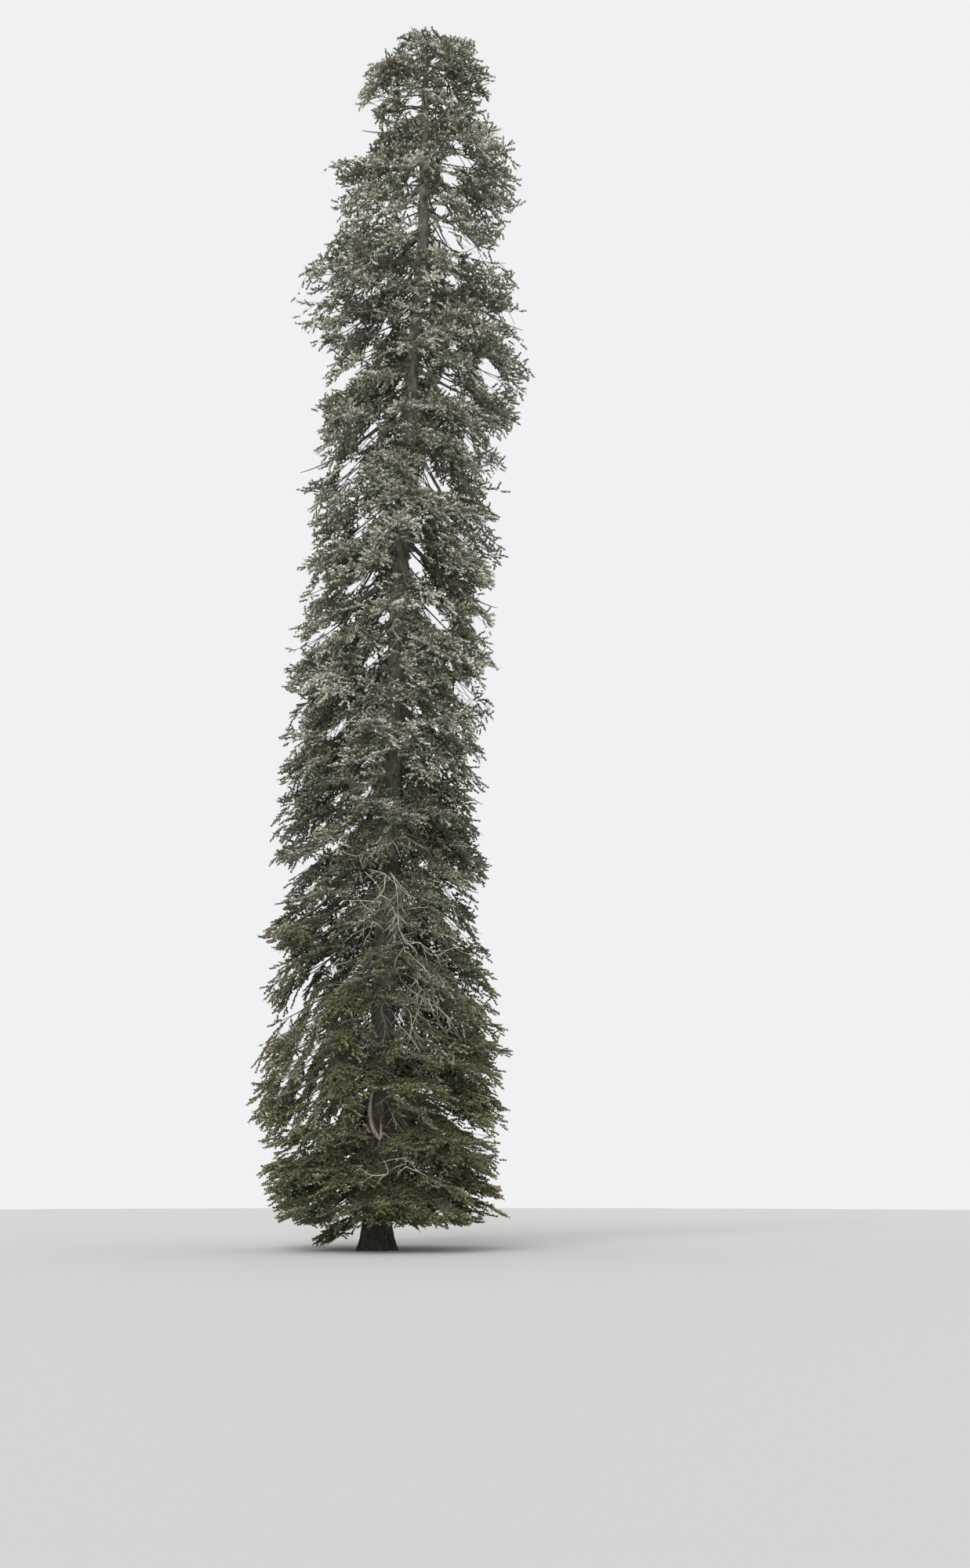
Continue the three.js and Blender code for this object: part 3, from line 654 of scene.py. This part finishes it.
def grow_twigs(lines, bare, margin, dead_bough):
    """Curved twigs in pairs along the boughs, as points (twig, 3, 3).

    Each twig's normal, length, bough, place among its twigs and margin to the outline come with them, and
    whether it is dead and whether it crosses openings.
    """
    run = np.linalg.norm(np.diff(lines, axis=1), axis=2).sum(axis=1)
    tips = lines[:, -1]
    reach = np.hypot(tips[:, 0] - lean_at(tips[:, 2]), tips[:, 1])
    size = np.clip(reach / FULL_REACH, *TWIG_SIZE)
    pairs = np.maximum((run * (1 - bare) / TWIG_STEP).astype(int), LEAST_PAIRS)
    bough, rank = share_out(2 * pairs)
    number = np.arange(len(bough))
    step = (rank // 2 + draw(PAIR_JITTER, number)) / pairs[bough]
    place = lerp(bare[bough], LAST_TWIG, step)
    roots, along = point_on(lines, bough, place)
    side = one_side(rank)[:, None]
    across = unit(np.cross(along, UP)) * side
    normal = unit(np.cross(across, along)) * side
    level = read_table(LEVEL_SPRAYS, roots[:, 2])
    angle = lerp(*TWIG_ANGLE, step) + (chance(number + 31) - 0.5) * ANGLE_SPREAD
    tilt = (chance(number + 57) - 0.5) * lerp(*TWIG_TILT, level)
    heading = turned(along, across, angle) + normal * tilt[:, None]
    heading[:, 2] *= 1 - LEVELLING * level
    heading[:, 2] -= HANGING * chance(number + 117) * seen_in(roots, HANGING_REGIONS)
    heading = unit(heading)
    normal = unit(normal + UP * LEVEL_NORMAL * level[:, None])
    clump = np.array([noise.noise(Vector(root * CLUMP_SCALE)) for root in roots])
    fullness = smooth_step(clump, *CLUMP_RANGE)
    length = TWIG_LENGTH * size[bough] * np.interp(step, *TWIG_PROFILE)
    length = length * draw(LENGTH_SPREAD, number + 83) * lerp(*CLUMP_LENGTH, fullness)
    sag = TWIG_SAG * lerp(1, LEVEL_SAG, level) * draw(SAG_SPREAD, number + 19)
    points = twig_points(roots, heading, length, sag)
    margin = margin[bough] + draw(MARGIN_SPREAD, number + 91)
    for shorter in SHORTER:
        length = np.where(inside_outline(points[:, -1], margin), length, length * shorter)
        points = twig_points(roots, heading, length, sag)
    dead = dead_bough[bough] | dead_at(points[:, 1], number + 77, DEAD_TWIGS)
    stretch = draw(DEAD_STRETCH, number + 101)
    bare_twigs = twig_points(roots, heading, length * stretch, sag * draw(DEAD_SAG, number + 103))
    points = np.where(dead[:, None, None], bare_twigs, points)
    lost = dead & (chance(number + 107) < DEAD_LOST)
    keep = (fullness > LEAST_FULLNESS) & ~lost & inside_outline(points[:, -1], margin + TWIG_MARGIN)
    keep &= chance(number + 113) > read_table(SPARSE_ABOVE, roots[:, 2])
    in_opening = seen_through(points[:, 1], number + 13) | seen_through(points[:, 2], number + 15)
    crossing = chance(number + 119) < CROSS_OPENINGS
    keep &= crossing | ~in_opening
    keep &= points[:, -1, 2] > low_edge_at(np.arctan2(roots[:, 1], roots[:, 0])) + LOWEST_TIP
    return [part[keep] for part in (points, normal, length, bough, step, margin, dead, crossing)]


def grow_shoots(points, normal, length, margin, dead, crossing):
    """Shoots in two ranks along each twig, and one at its end: roots, headings, normals, lengths, twigs.

    Only the shoots of twigs that cross openings stand in them.
    """
    counts = np.maximum((length / SHOOT_STEP).astype(int), 1)
    twig, rank = share_out(counts + 1)
    number = np.arange(len(twig))
    last = rank == counts[twig]
    place = np.where(last, 1.0, (rank + FIRST_SHOOT) / (counts[twig] + STEPS_MORE))
    roots, ahead = point_on(points, twig, np.minimum(place, NEAR_TIP))
    side = one_side(rank) * ~last
    across = unit(np.cross(ahead, normal[twig]))
    angle = (SHOOT_ANGLE + (chance(number) - 0.5) * ANGLE_SPREAD) * side
    heading = turned(ahead, across, angle)
    rise = TWIG_RISE * chance(twig + 11) + draw(RISE_SPREAD, number + 11)
    rise = read_table(SHOOT_RISE, roots[:, 2]) * rise
    heading = unit(heading + UP * rise[:, None])
    size = draw(SHOOT_LENGTH, number + 23)
    tips = roots + heading * size[:, None]
    keep = crossing[twig] | ~seen_through(lerp(roots, tips, SHOOT_JUDGED), number + 17)
    keep &= inside_outline(tips, margin[twig] + SHOOT_MARGIN) & ~dead[twig]
    keep &= tips[:, 2] > LOWEST_TIP
    return roots[keep], heading[keep], normal[twig][keep], size[keep], twig[keep]


def needles_of(roots, heading, normal, size):
    """Needles in a spiral round each shoot, one triangle each, as (shoot, needle, 3 corners, 3).

    How light each needle is comes with them, as painted light and shade: the upper ones and those near the
    tip are painted lighter, the lower ones and those near the foot darker.
    """
    across = unit(np.cross(heading, normal))
    over = np.cross(across, heading)
    first_turn = 2 * np.pi * chance(np.arange(len(roots)) + 41)
    corners, painted_light_and_shade = [], []
    for needle in range(NEEDLES):
        turn = first_turn + needle * GOLDEN_ANGLE
        outward = turned(across, over, turn)
        middle = (needle + FIRST_NEEDLE) / NEEDLES
        foot_back = roots + heading * (size * max(middle - NEEDLE_FOOT, 0))[:, None]
        foot_ahead = roots + heading * (size * min(middle + NEEDLE_FOOT, 1))[:, None]
        tip = roots + heading * (size * middle + NEEDLE_FORWARD)[:, None] + outward * NEEDLE_REACH
        corners.append(np.stack([foot_back, foot_ahead, tip], axis=1))
        painted_light_and_shade.append(NEEDLE_UPPER_PAINTED_LIGHT * outward[:, 2] + NEEDLE_TIP_PAINTED_LIGHT * (middle - 0.5))
    return np.stack(corners, axis=1), np.stack(painted_light_and_shade, axis=1)


def twig_cones(points, radius):
    """Three-sided twigs that taper to a point, through three points each, as (twig, 7, 3)."""
    along = unit(points[:, 2:] - points[:, :1])
    rings = rings_round(points[:, :2], along, radius[:, None] * TWIG_TAPER, 3)
    return np.concatenate([rings.reshape(len(points), -1, 3), points[:, 2:]], axis=1)


TWIG_FACES = np.array([
    [0, 1, 4], [0, 4, 3], [1, 2, 5], [1, 5, 4], [2, 0, 3], [2, 3, 5], [3, 4, 6], [4, 5, 6], [5, 3, 6],
])


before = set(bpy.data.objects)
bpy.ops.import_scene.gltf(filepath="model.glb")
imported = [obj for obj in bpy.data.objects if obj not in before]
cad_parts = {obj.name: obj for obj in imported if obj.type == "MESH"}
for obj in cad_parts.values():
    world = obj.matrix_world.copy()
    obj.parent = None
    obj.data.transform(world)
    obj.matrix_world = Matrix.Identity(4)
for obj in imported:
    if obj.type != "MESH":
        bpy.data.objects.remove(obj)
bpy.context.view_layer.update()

# Dark and light colour of each pattern, its scale, its stretch and its bump
# The trunk's bark is painted lighter than the boughs' bark, as painted light that makes up for the foliage's
# shade on the trunk; below 9 metres it is darkened as painted shade
LIT_TRUNK_BARK = patterned_material("bark", srgb(96, 92, 83), srgb(163, 158, 148), 9, 0.35, 0.7)
darken_foot(LIT_TRUNK_BARK, shade=0.2, height=9)
BOUGH_BARK = patterned_material("bough_bark", srgb(84, 78, 68), srgb(148, 141, 129), 9, 0.35, 0.7)
TWIG_BARK = plain_material("twig_bark", srgb(112, 103, 90), 0.9)
DEAD_TWIG = plain_material("dead_twig", srgb(186, 178, 162), 0.85)
DEAD_WOOD = patterned_material("dead_wood", srgb(150, 141, 127), srgb(206, 197, 183), 14, 0.4, 0.4)
TORN_WOOD = patterned_material("torn_wood", srgb(214, 188, 166), srgb(250, 238, 224), 14, 0.4, 0.4)
# Tints from dark to light: name, colour, colour of its greener twin for low sprays, roughness
TINTS = [
    ("darkest", (97, 96, 80), (92, 91, 64), 0.75),
    ("dark", (114, 112, 95), (110, 107, 78), 0.65),
    ("mid", (132, 130, 114), (131, 127, 97), 0.6),
    ("light", (160, 158, 143), (160, 154, 119), 0.6),
    ("pale", (188, 186, 171), (190, 184, 143), 0.6),
    ("palest", (218, 215, 200), (220, 213, 167), 0.6),
]
NEEDLE_TINTS = [plain_material(f"needles_{name}", srgb(*high), rough) for name, high, _, rough in TINTS]
NEEDLE_TINTS += [plain_material(f"low_needles_{name}", srgb(*low), rough) for name, _, low, rough in TINTS]
GREENER_BELOW = (1, 13)  # all sprays under the first height are greener, and none over the second
# Rows of height and how many tints lighter the sprays are there
LIGHTER_ABOVE = [
    (1, -0.4), (4, 0.05), (9, 0.4), (12.3, 1), (14.5, 2.1), (18, 2.5), (21, 2.15), (29, 2.35), (34, 2.65),
]
# Rows of place among a bough's twigs and how many tints lighter the sprays are there: painted shade near the
# bough's foot, partly also the darker old foliage there, and painted light at its tip
PAINTED_SHADE_AND_LIGHT_ALONG_BOUGH = [(0, -1.5), (0.4, -0.9), (0.75, 0.25), (1, 0.95)]
# Painted light and shade by side: rows of height and how many tints lighter the left and right are there,
# then the front and back
PAINTED_LIGHT_AND_SHADE_AROUND = [(0, 0.8, -0.9), (4, 0.8, -0.7), (8, -0.2, 0), (11, -0.6, 0.35), (34, -0.6, 0.35)]
# Painted shadow and painted light: where the viewer sees sprays that are lighter or darker than their
# neighbours, as shaded hollows and lit masses: middle, half size, tints
PAINTED_LIGHT_AND_SHADE_PATCHES = [
    (576, 106, 26, 26, -1.6), (515, 140, 18, 20, 0.9), (535, 342, 60, 40, 0.9), (458, 376, 32, 14, -1.3),
    (522, 592, 20, 20, -1.2), (440, 870, 42, 32, 1.0), (522, 950, 26, 26, 1.3), (522, 1088, 22, 22, -1),
    (440, 1306, 16, 18, -1.5), (437, 1380, 22, 16, -1.3), (528, 1442, 58, 28, -1.1),
    (452, 1482, 32, 16, -0.9),
]
PATCH_DEPTH = 1  # patches end this far behind the trunk's middle
TINT_SPREADS = (0.9, 0.6, 2.2)  # by chance, from bough to bough, from twig to twig and from shoot to shoot


def tint_of(place, points, bough, twig, shoot):
    """How light each spray is: dark low down and lighter high up, with painted shade near the bough's foot
    and painted light at its tip, painted light and shade by side and in patches, and tints by chance.
    """
    level = read_table(LIGHTER_ABOVE, points[:, 2]) + read_table(PAINTED_SHADE_AND_LIGHT_ALONG_BOUGH, place)
    sideways = points[:, 0] - lean_at(points[:, 2])
    facing = np.abs(points[:, 1]) / np.hypot(sideways, points[:, 1])
    level = level + lerp(*read_both(PAINTED_LIGHT_AND_SHADE_AROUND, points[:, 2]), facing)
    x, y = in_picture(points)
    # Painted shadow in shaded hollows and painted light on lit masses
    for *region, lighter in PAINTED_LIGHT_AND_SHADE_PATCHES:
        level = level + lighter * np.exp(-away_from(x, y, region)) * (points[:, 1] < PATCH_DEPTH)
    for seed, spread in zip((bough + 3, twig + 7, shoot + 3), TINT_SPREADS):
        level = level + (chance(seed) - 0.5) * spread
    return level


def grow_crown():
    lines, mass, bare, radius, margin = grow_bough_lines()
    dead_bough = dead_at(lines[:, -2], np.arange(len(lines)) + 71, DEAD_BOUGHS)
    twigs, normal, length, bough, place, margin, dead, crossing = grow_twigs(lines, bare, margin, dead_bough)
    roots, heading, over, size, twig = grow_shoots(twigs, normal, length, margin, dead, crossing)
    level = tint_of(place[twig], roots, bough[twig], twig, np.arange(len(twig)))
    bough_group = np.searchsorted(BAND_STARTS, mass, side="right") - 1
    radii = radius[:, None] * np.linspace(1, TIP_TAPER, BOUGH_RINGS)
    for group, first in enumerate(BAND_STARTS):
        here = bough_group == group
        mine = here[bough]
        wood = Joined()
        wood.add_tubes(lines[here], radii[here], BOUGH_SIDES, dead_bough[here])
        twig_radius = np.where(dead[mine], DEAD_TWIG_RADIUS, TWIG_RADIUS)
        wood.add(twig_cones(twigs[mine], twig_radius), TWIG_FACES, dead[mine])
        twig_piece = wood.build(f"twigs_{group + 1}", [TWIG_BARK, DEAD_TWIG])
        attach(twig_piece, "root")
        shoots = mine[twig]
        blades, painted_light_and_shade = needles_of(roots[shoots], heading[shoots], over[shoots], size[shoots])
        # Each needle's tint holds the painted light and shade of its place on the shoot
        tint = np.clip(np.round(level[shoots, None] + painted_light_and_shade), 0, len(TINTS) - 1).astype(int)
        greener = chance(twig[shoots] + 19) > smooth_step(roots[shoots, 2], *GREENER_BELOW)
        tint[greener] += len(TINTS)
        corners = np.arange(tint.size * 3).reshape(-1, 3)
        piece = make_mesh(f"needles_{group + 1}", blades.reshape(-1, 3), corners, NEEDLE_TINTS, tint.ravel())
        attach(piece, "root")
        end = [*BAND_STARTS, MASS_COUNT][group + 1]
        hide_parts(*[f"foliage_{k + 1:02d}" for k in range(first, end)])


# Trunk and main boughs, with the bark's relief

TRUNK_SIDES = 56
TRUNK_RINGS = 300
RING_CROWDING = 1.15  # over 1 sets the rings closer together near the ground
BARK_DEPTH = 0.011
BARK_GIRTH = 0.25  # trunk radius at which the bark has that depth
MOST_BARK = 1.4
PLATE_SCALE = np.array([5, 5, 2.2])
PLATE_FRACTAL = (0.9, 2.1, 5)
WRINKLE_SCALE = np.array([26, 26, 9])
WRINKLE_SHARE = 0.4
# Collar where a thin bough leaves the trunk: its depth, and the height and turn in which it fades
COLLAR_DEPTH = 0.03
COLLAR_HEIGHT = 0.07
COLLAR_TURN = 0.25
MAIN_BOUGH_SIDES = 10
MAIN_BOUGH_RINGS = 26
MAIN_BOUGH_SHARES = (0.03, 0.9)
MAIN_BOUGH_RADII = (0.088, 0.05, 0.008)  # at the foot, at the knee and at the tip
MAIN_BOUGH_KNEE = 0.42
MAIN_BOUGH_SIZE = (1.15, 0.55)  # scale of the first two near the ground and at the highest shelf
KNOT_SCALE = 9
KNOT_DEPTH = 0.16


def bark_relief(point, girth):
    """How far the bark stands out: low plates and wrinkles, deeper where the trunk is thicker."""
    plates = noise.fractal(Vector(point * PLATE_SCALE), *PLATE_FRACTAL)
    wrinkles = noise.noise(Vector(point * WRINKLE_SCALE))
    return BARK_DEPTH * girth * (plates + WRINKLE_SHARE * wrinkles)


def grow_trunk():
    height = TRUNK_TOP * np.linspace(0, 1, TRUNK_RINGS) ** RING_CROWDING
    turn = turns_round(TRUNK_SIDES)
    flare = FLARE_DEPTH * np.exp(-height / FLARE_FADE)
    lobe = 1 - ROOT_LOBE_SHARE + ROOT_LOBE_SHARE * np.cos(ROOT_LOBES * turn)
    radius = read_table(TRUNK_RADIUS, height)[:, None] + flare[:, None] * lobe[None, :]
    for shelf, azimuth, _ in zip(*bough_places(BOUGH_COUNT, BELOW_TOP)):
        collar = COLLAR_DEPTH * np.exp(-(((height - shelf) / COLLAR_HEIGHT) ** 2))[:, None]
        radius = radius + collar * np.exp(-((wrap_angle(turn - azimuth) / COLLAR_TURN) ** 2))[None, :]
    middle = np.stack([lean_at(height), 0 * height, height], -1)[:, None]
    outward = np.stack([np.cos(turn), np.sin(turn), 0 * turn], -1)
    points = middle + radius[..., None] * outward
    relief = np.array([[bark_relief(p, min(r / BARK_GIRTH, MOST_BARK)) for p, r in zip(ring, girths)]
                       for ring, girths in zip(points, radius)])
    relief[0] = 0
    points = points + relief[..., None] * outward
    faces = np.concatenate([tube_faces(TRUNK_RINGS, TRUNK_SIDES), fan(TRUNK_SIDES)[:, ::-1]])
    trunk = make_mesh("trunk_bark", points.reshape(-1, 3), faces, [LIT_TRUNK_BARK], smooth=True)
    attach(trunk, "root")
    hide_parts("trunk")


def grow_main_boughs():
    joined = Joined()
    faces = tube_faces(MAIN_BOUGH_RINGS, MAIN_BOUGH_SIDES)
    foot, knee, tip = MAIN_BOUGH_RADII
    place = np.linspace(0, 1, MAIN_BOUGH_RINGS)
    for shelf, azimuth in MASSES:
        size = lerp(*MAIN_BOUGH_SIZE, shelf / HIGHEST_SHELF)
        line = crown_point(shelf, azimuth, np.linspace(*MAIN_BOUGH_SHARES, MAIN_BOUGH_RINGS))
        radii = np.interp(place, [0, MAIN_BOUGH_KNEE, 1], [foot * size, knee * size, tip])
        rings = tube_points(line, radii, MAIN_BOUGH_SIDES)
        middle = line[:, None, :]
        knots = np.array([[noise.noise(Vector(p * KNOT_SCALE)) for p in ring] for ring in rings])
        rings = middle + (rings - middle) * (1 + KNOT_DEPTH * knots[:, :, None])
        joined.add(rings, faces)
    boughs = joined.build("main_boughs", [BOUGH_BARK])
    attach(boughs, "root")
    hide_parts(*[f"bough_{k + 1:02d}" for k in range(MAIN_BOUGH_COUNT)])


# Dead limbs, as in the part's source, with their bare twigs

# Shelf, azimuth, reach, greatest radius and sway; the lowest one is a broad torn strip that curves aside
DEAD_LIMBS = [(4.45, -1.45, 0.8, 0.06, 0.3), (10.3, -1.0, 1.25, 0.045, 0), (18.4, -1.75, 0.8, 0.034, 0)]
SWAY_END_SHARE = 0.75
OUTWARD_SPAN = 2.2
DEAD_LIMB_DROP = 1.5
DROP_RATE = 1.25
DEAD_LIMB_HOOK = 0.42
HOOK_START_SHARE = 0.75
DEAD_LIMB_THICKEST = 0.7  # share of its length, and its foot's part of that radius
DEAD_LIMB_FOOT = 0.6
DEAD_LIMB_TIP_RADIUS = 0.009
DEAD_LIMB_RINGS = 24
DEAD_LIMB_SIDES = 7
SIDE_TWIGS = 14
SIDE_TWIG_LENGTH = (0.2, 0.6)
SIDE_TWIG_PLACES = (0.3, 0.98)
SIDE_TWIG_BEND = np.array([0, 0.35, 0.7, 1])
SIDE_TWIG_AHEAD = 0.5
SIDE_TWIG_DOWN = 0.5
SIDE_TWIG_SAG = 0.35
SIDE_TWIG_RADII = (0.008, 0.006, 0.004, 0.0025)
SIDE_TWIG_SIDES = 4

# Pale bare boughs on the viewer's side: depth in front of the trunk, then each point's x and y
PALE_BOUGHS = [
    (2.3, 490, 1073, 486, 1080, 478, 1088, 466, 1088, 455, 1092, 443, 1089, 431, 1084, 420, 1088),
    (2.8, 497, 1122, 491, 1115, 483, 1112, 472, 1109),
    (2.7, 491, 1120, 490, 1134, 484, 1143, 478, 1154, 479, 1166),
    (2.75, 484, 1141, 492, 1145, 496, 1150, 490, 1158, 480, 1162),
    (2.8, 478, 1166, 468, 1158, 459, 1149),
    (2.8, 500, 1116, 508, 1126, 513, 1135, 519, 1141, 530, 1146),
    (2.85, 501, 1118, 505, 1130, 507, 1146, 508, 1164, 508, 1178, 511, 1190, 516, 1201),
    (2.8, 500, 1157, 505, 1167, 515, 1175),
    (2.75, 505, 1166, 501, 1176, 495, 1185),
    (2.5, 512, 1190, 519, 1204, 535, 1202, 541, 1211, 549, 1217, 560, 1218, 569, 1213, 588, 1204),
    (2.4, 520, 1200, 535, 1203, 544, 1209, 556, 1213, 570, 1212),
    (2.3, 521, 1204, 530, 1212, 532, 1222, 532, 1234, 536, 1243, 530, 1253, 521, 1259),
    (2.4, 532, 1226, 545, 1240, 552, 1252, 551, 1264, 553, 1277, 560, 1287, 568, 1295, 576, 1301),
    (2.6, 530, 1250, 534, 1258, 537, 1263, 531, 1270, 520, 1276),
    (1.6, 490, 1276, 486, 1288, 490, 1302, 491, 1315, 488, 1332),
    (2.6, 522, 1290, 525, 1308, 530, 1320, 538, 1335),
    (2.6, 505, 1298, 511, 1310, 519, 1318, 528, 1330, 534, 1339),
    (2.5, 556, 1284, 561, 1288, 569, 1296, 572, 1306, 575, 1314),
    (1.2, 503, 1384, 501, 1391, 495, 1398, 486, 1405, 479, 1409),
    (1.5, 486, 1443, 494, 1449, 505, 1457, 512, 1462, 520, 1457, 527, 1452),
    (1.4, 501, 1423, 505, 1432, 511, 1441),
    (2.9, 495, 1496, 485, 1499, 474, 1499, 465, 1494, 457, 1487),
    (2.6, 512, 794, 505, 790, 501, 800, 505, 811, 513, 815),
]
PALE_BOUGH_RADIUS = (0.015, 0.007)
PALE_BOUGH_SIDES = 6
PALE_BOUGH_WAVE = 0.15  # of its depth, and the rate of that wave from point to point
PALE_BOUGH_RATE = 1.7
PALE_BOUGH_RISE = 0.5  # height from the first point that shows to where it leaves the trunk
PALE_BOUGH_ARCH = 0.12
PALE_BOUGH_ARCH_SHARE = 0.55
PALE_TWIGS = 7
PALE_TWIG_LENGTH = (0.12, 0.5)


def seen_at(x, y, depth):
    """The point this far in front of the trunk's foot that the viewer sees at a pixel."""
    right = (x - PICTURE_WIDTH / 2) / FOCAL_PIXELS
    above = (PICTURE_HEIGHT / 2 + SHIFT_PIXELS - y) / FOCAL_PIXELS
    ray = VIEW_AHEAD + above * VIEW_UP + np.array([right, 0, 0])
    return np.array(EYE) + ray * (-depth - EYE[1]) / ray[1]


def smooth_line(points, steps=4):
    """A smooth curve through points, with this many short steps from each to the next."""
    ends = [2 * points[0] - points[1], *points, 2 * points[-1] - points[-2]]
    line = []
    for before, start, end, after in zip(ends, ends[1:], ends[2:], ends[3:]):
        for share in np.arange(steps) / steps:
            turn = share * (end - before) + share**2 * (2 * before - 5 * start + 4 * end - after)
            line.append(start + (turn + share**3 * (3 * start - before - 3 * end + after)) / 2)
    return np.array([*line, points[-1]])


def dead_limb_line(shelf, azimuth, reach, sway):
    share = np.linspace(0, 1, DEAD_LIMB_RINGS)
    out = reach * np.sin(share * math.pi / OUTWARD_SPAN)
    height = shelf - DEAD_LIMB_DROP * np.sin(np.minimum(share * DROP_RATE, 1) * math.pi / 2) ** 2
    height = height + DEAD_LIMB_HOOK * np.maximum(share - HOOK_START_SHARE, 0) / (1 - HOOK_START_SHARE)
    aside = sway * np.sin(np.minimum(share / SWAY_END_SHARE, 1) * math.pi)
    x = lean_at(height) + out * np.cos(azimuth) + aside * np.sin(azimuth)
    return np.stack([x, out * np.sin(azimuth) - aside * np.cos(azimuth), height], -1)


def pale_bough_line(depth, *way):
    """From the trunk's middle line, over a point on the way out, along the way that the picture shows."""
    shown = []
    for step, (x, y) in enumerate(np.reshape(way, (-1, 2))):
        shown.append(seen_at(x, y, depth + PALE_BOUGH_WAVE * math.sin(PALE_BOUGH_RATE * step)))
    foot_height = shown[0][2] + PALE_BOUGH_RISE
    foot = np.array([lean_at(foot_height), 0, foot_height])
    between = lerp(foot, shown[0], PALE_BOUGH_ARCH_SHARE) + UP * PALE_BOUGH_ARCH
    return smooth_line([foot, between, *shown])


def add_side_twigs(joined, line, first_seed, count, lengths):
    """Thin bare twigs along a dead limb, to both sides and downwards."""
    seeds = first_seed + np.arange(count)
    place = lerp(*SIDE_TWIG_PLACES, (np.arange(count) + 0.5) / count)
    roots, along = point_on(line[None], np.zeros(count, dtype=int), place)
    across = unit(np.cross(along, UP)) * one_side(seeds)[:, None]
    headings = unit(along * SIDE_TWIG_AHEAD + across - UP * SIDE_TWIG_DOWN)
    twigs = twig_points(roots, headings, draw(lengths, seeds + 900), SIDE_TWIG_SAG, SIDE_TWIG_BEND)
    joined.add_tubes(twigs, SIDE_TWIG_RADII, SIDE_TWIG_SIDES)


def grow_dead_limbs():
    joined = Joined()
    place = np.linspace(0, 1, DEAD_LIMB_RINGS)
    for number, (shelf, azimuth, reach, radius, sway) in enumerate(DEAD_LIMBS):
        line = dead_limb_line(shelf, azimuth, reach, sway)
        radii = [DEAD_LIMB_FOOT * radius, radius, DEAD_LIMB_TIP_RADIUS]
        radii = np.interp(place, [0, DEAD_LIMB_THICKEST, 1], radii)
        joined.add_tubes(line, radii, DEAD_LIMB_SIDES, tint=number == 0)
        add_side_twigs(joined, line, number * 50, SIDE_TWIGS, SIDE_TWIG_LENGTH)
    for number, bough in enumerate(PALE_BOUGHS):
        line = pale_bough_line(*bough)
        joined.add_tubes(line, np.linspace(*PALE_BOUGH_RADIUS, len(line)), PALE_BOUGH_SIDES)
        add_side_twigs(joined, line, 1000 + number * 50, PALE_TWIGS, PALE_TWIG_LENGTH)
    limbs = joined.build("dead_limbs", [DEAD_WOOD, TORN_WOOD])
    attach(limbs, "root")
    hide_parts(*[f"dead_limb_{k + 1:02d}" for k in range(len(DEAD_LIMBS))])


# Camera, light and floor

FLOOR_RADIUS = 80
FLOOR_SIDES = 64
FLOOR_DROP = 0.005


def place_camera():
    camera = add_object("camera", bpy.data.cameras.new("camera"))
    camera.data.sensor_width = SENSOR_LONG_SIDE
    camera.data.lens = FOCAL_PIXELS / PICTURE_HEIGHT * SENSOR_LONG_SIDE
    camera.data.shift_y = SHIFT_PIXELS / PICTURE_HEIGHT
    camera.location = EYE
    camera.rotation_euler = (math.pi / 2 + PITCH, 0, 0)
    bpy.context.scene.camera = camera


def place_light():
    world = bpy.data.worlds.new("sky")
    world.use_nodes = True
    set_inputs(world.node_tree.nodes["Background"], Color=srgb(240, 241, 243))
    bpy.context.scene.world = world
    sun = add_object("soft_sun", bpy.data.lights.new("soft_sun", "SUN"))
    sun.data.energy = 2.4
    sun.data.angle = math.radians(40)
    sun.rotation_euler = (math.radians(50), math.radians(-18), 0)
    bpy.context.scene.view_settings.view_transform = "Standard"


def place_floor():
    turns = turns_round(FLOOR_SIDES)
    rim = np.stack([FLOOR_RADIUS * np.cos(turns), FLOOR_RADIUS * np.sin(turns), 0 * turns - FLOOR_DROP], -1)
    floor = make_mesh("floor", rim, fan(FLOOR_SIDES), [plain_material("floor", srgb(186, 186, 183), 0.9)])


place_camera()
place_light()
place_floor()
grow_trunk()
grow_main_boughs()
grow_dead_limbs()
grow_crown()
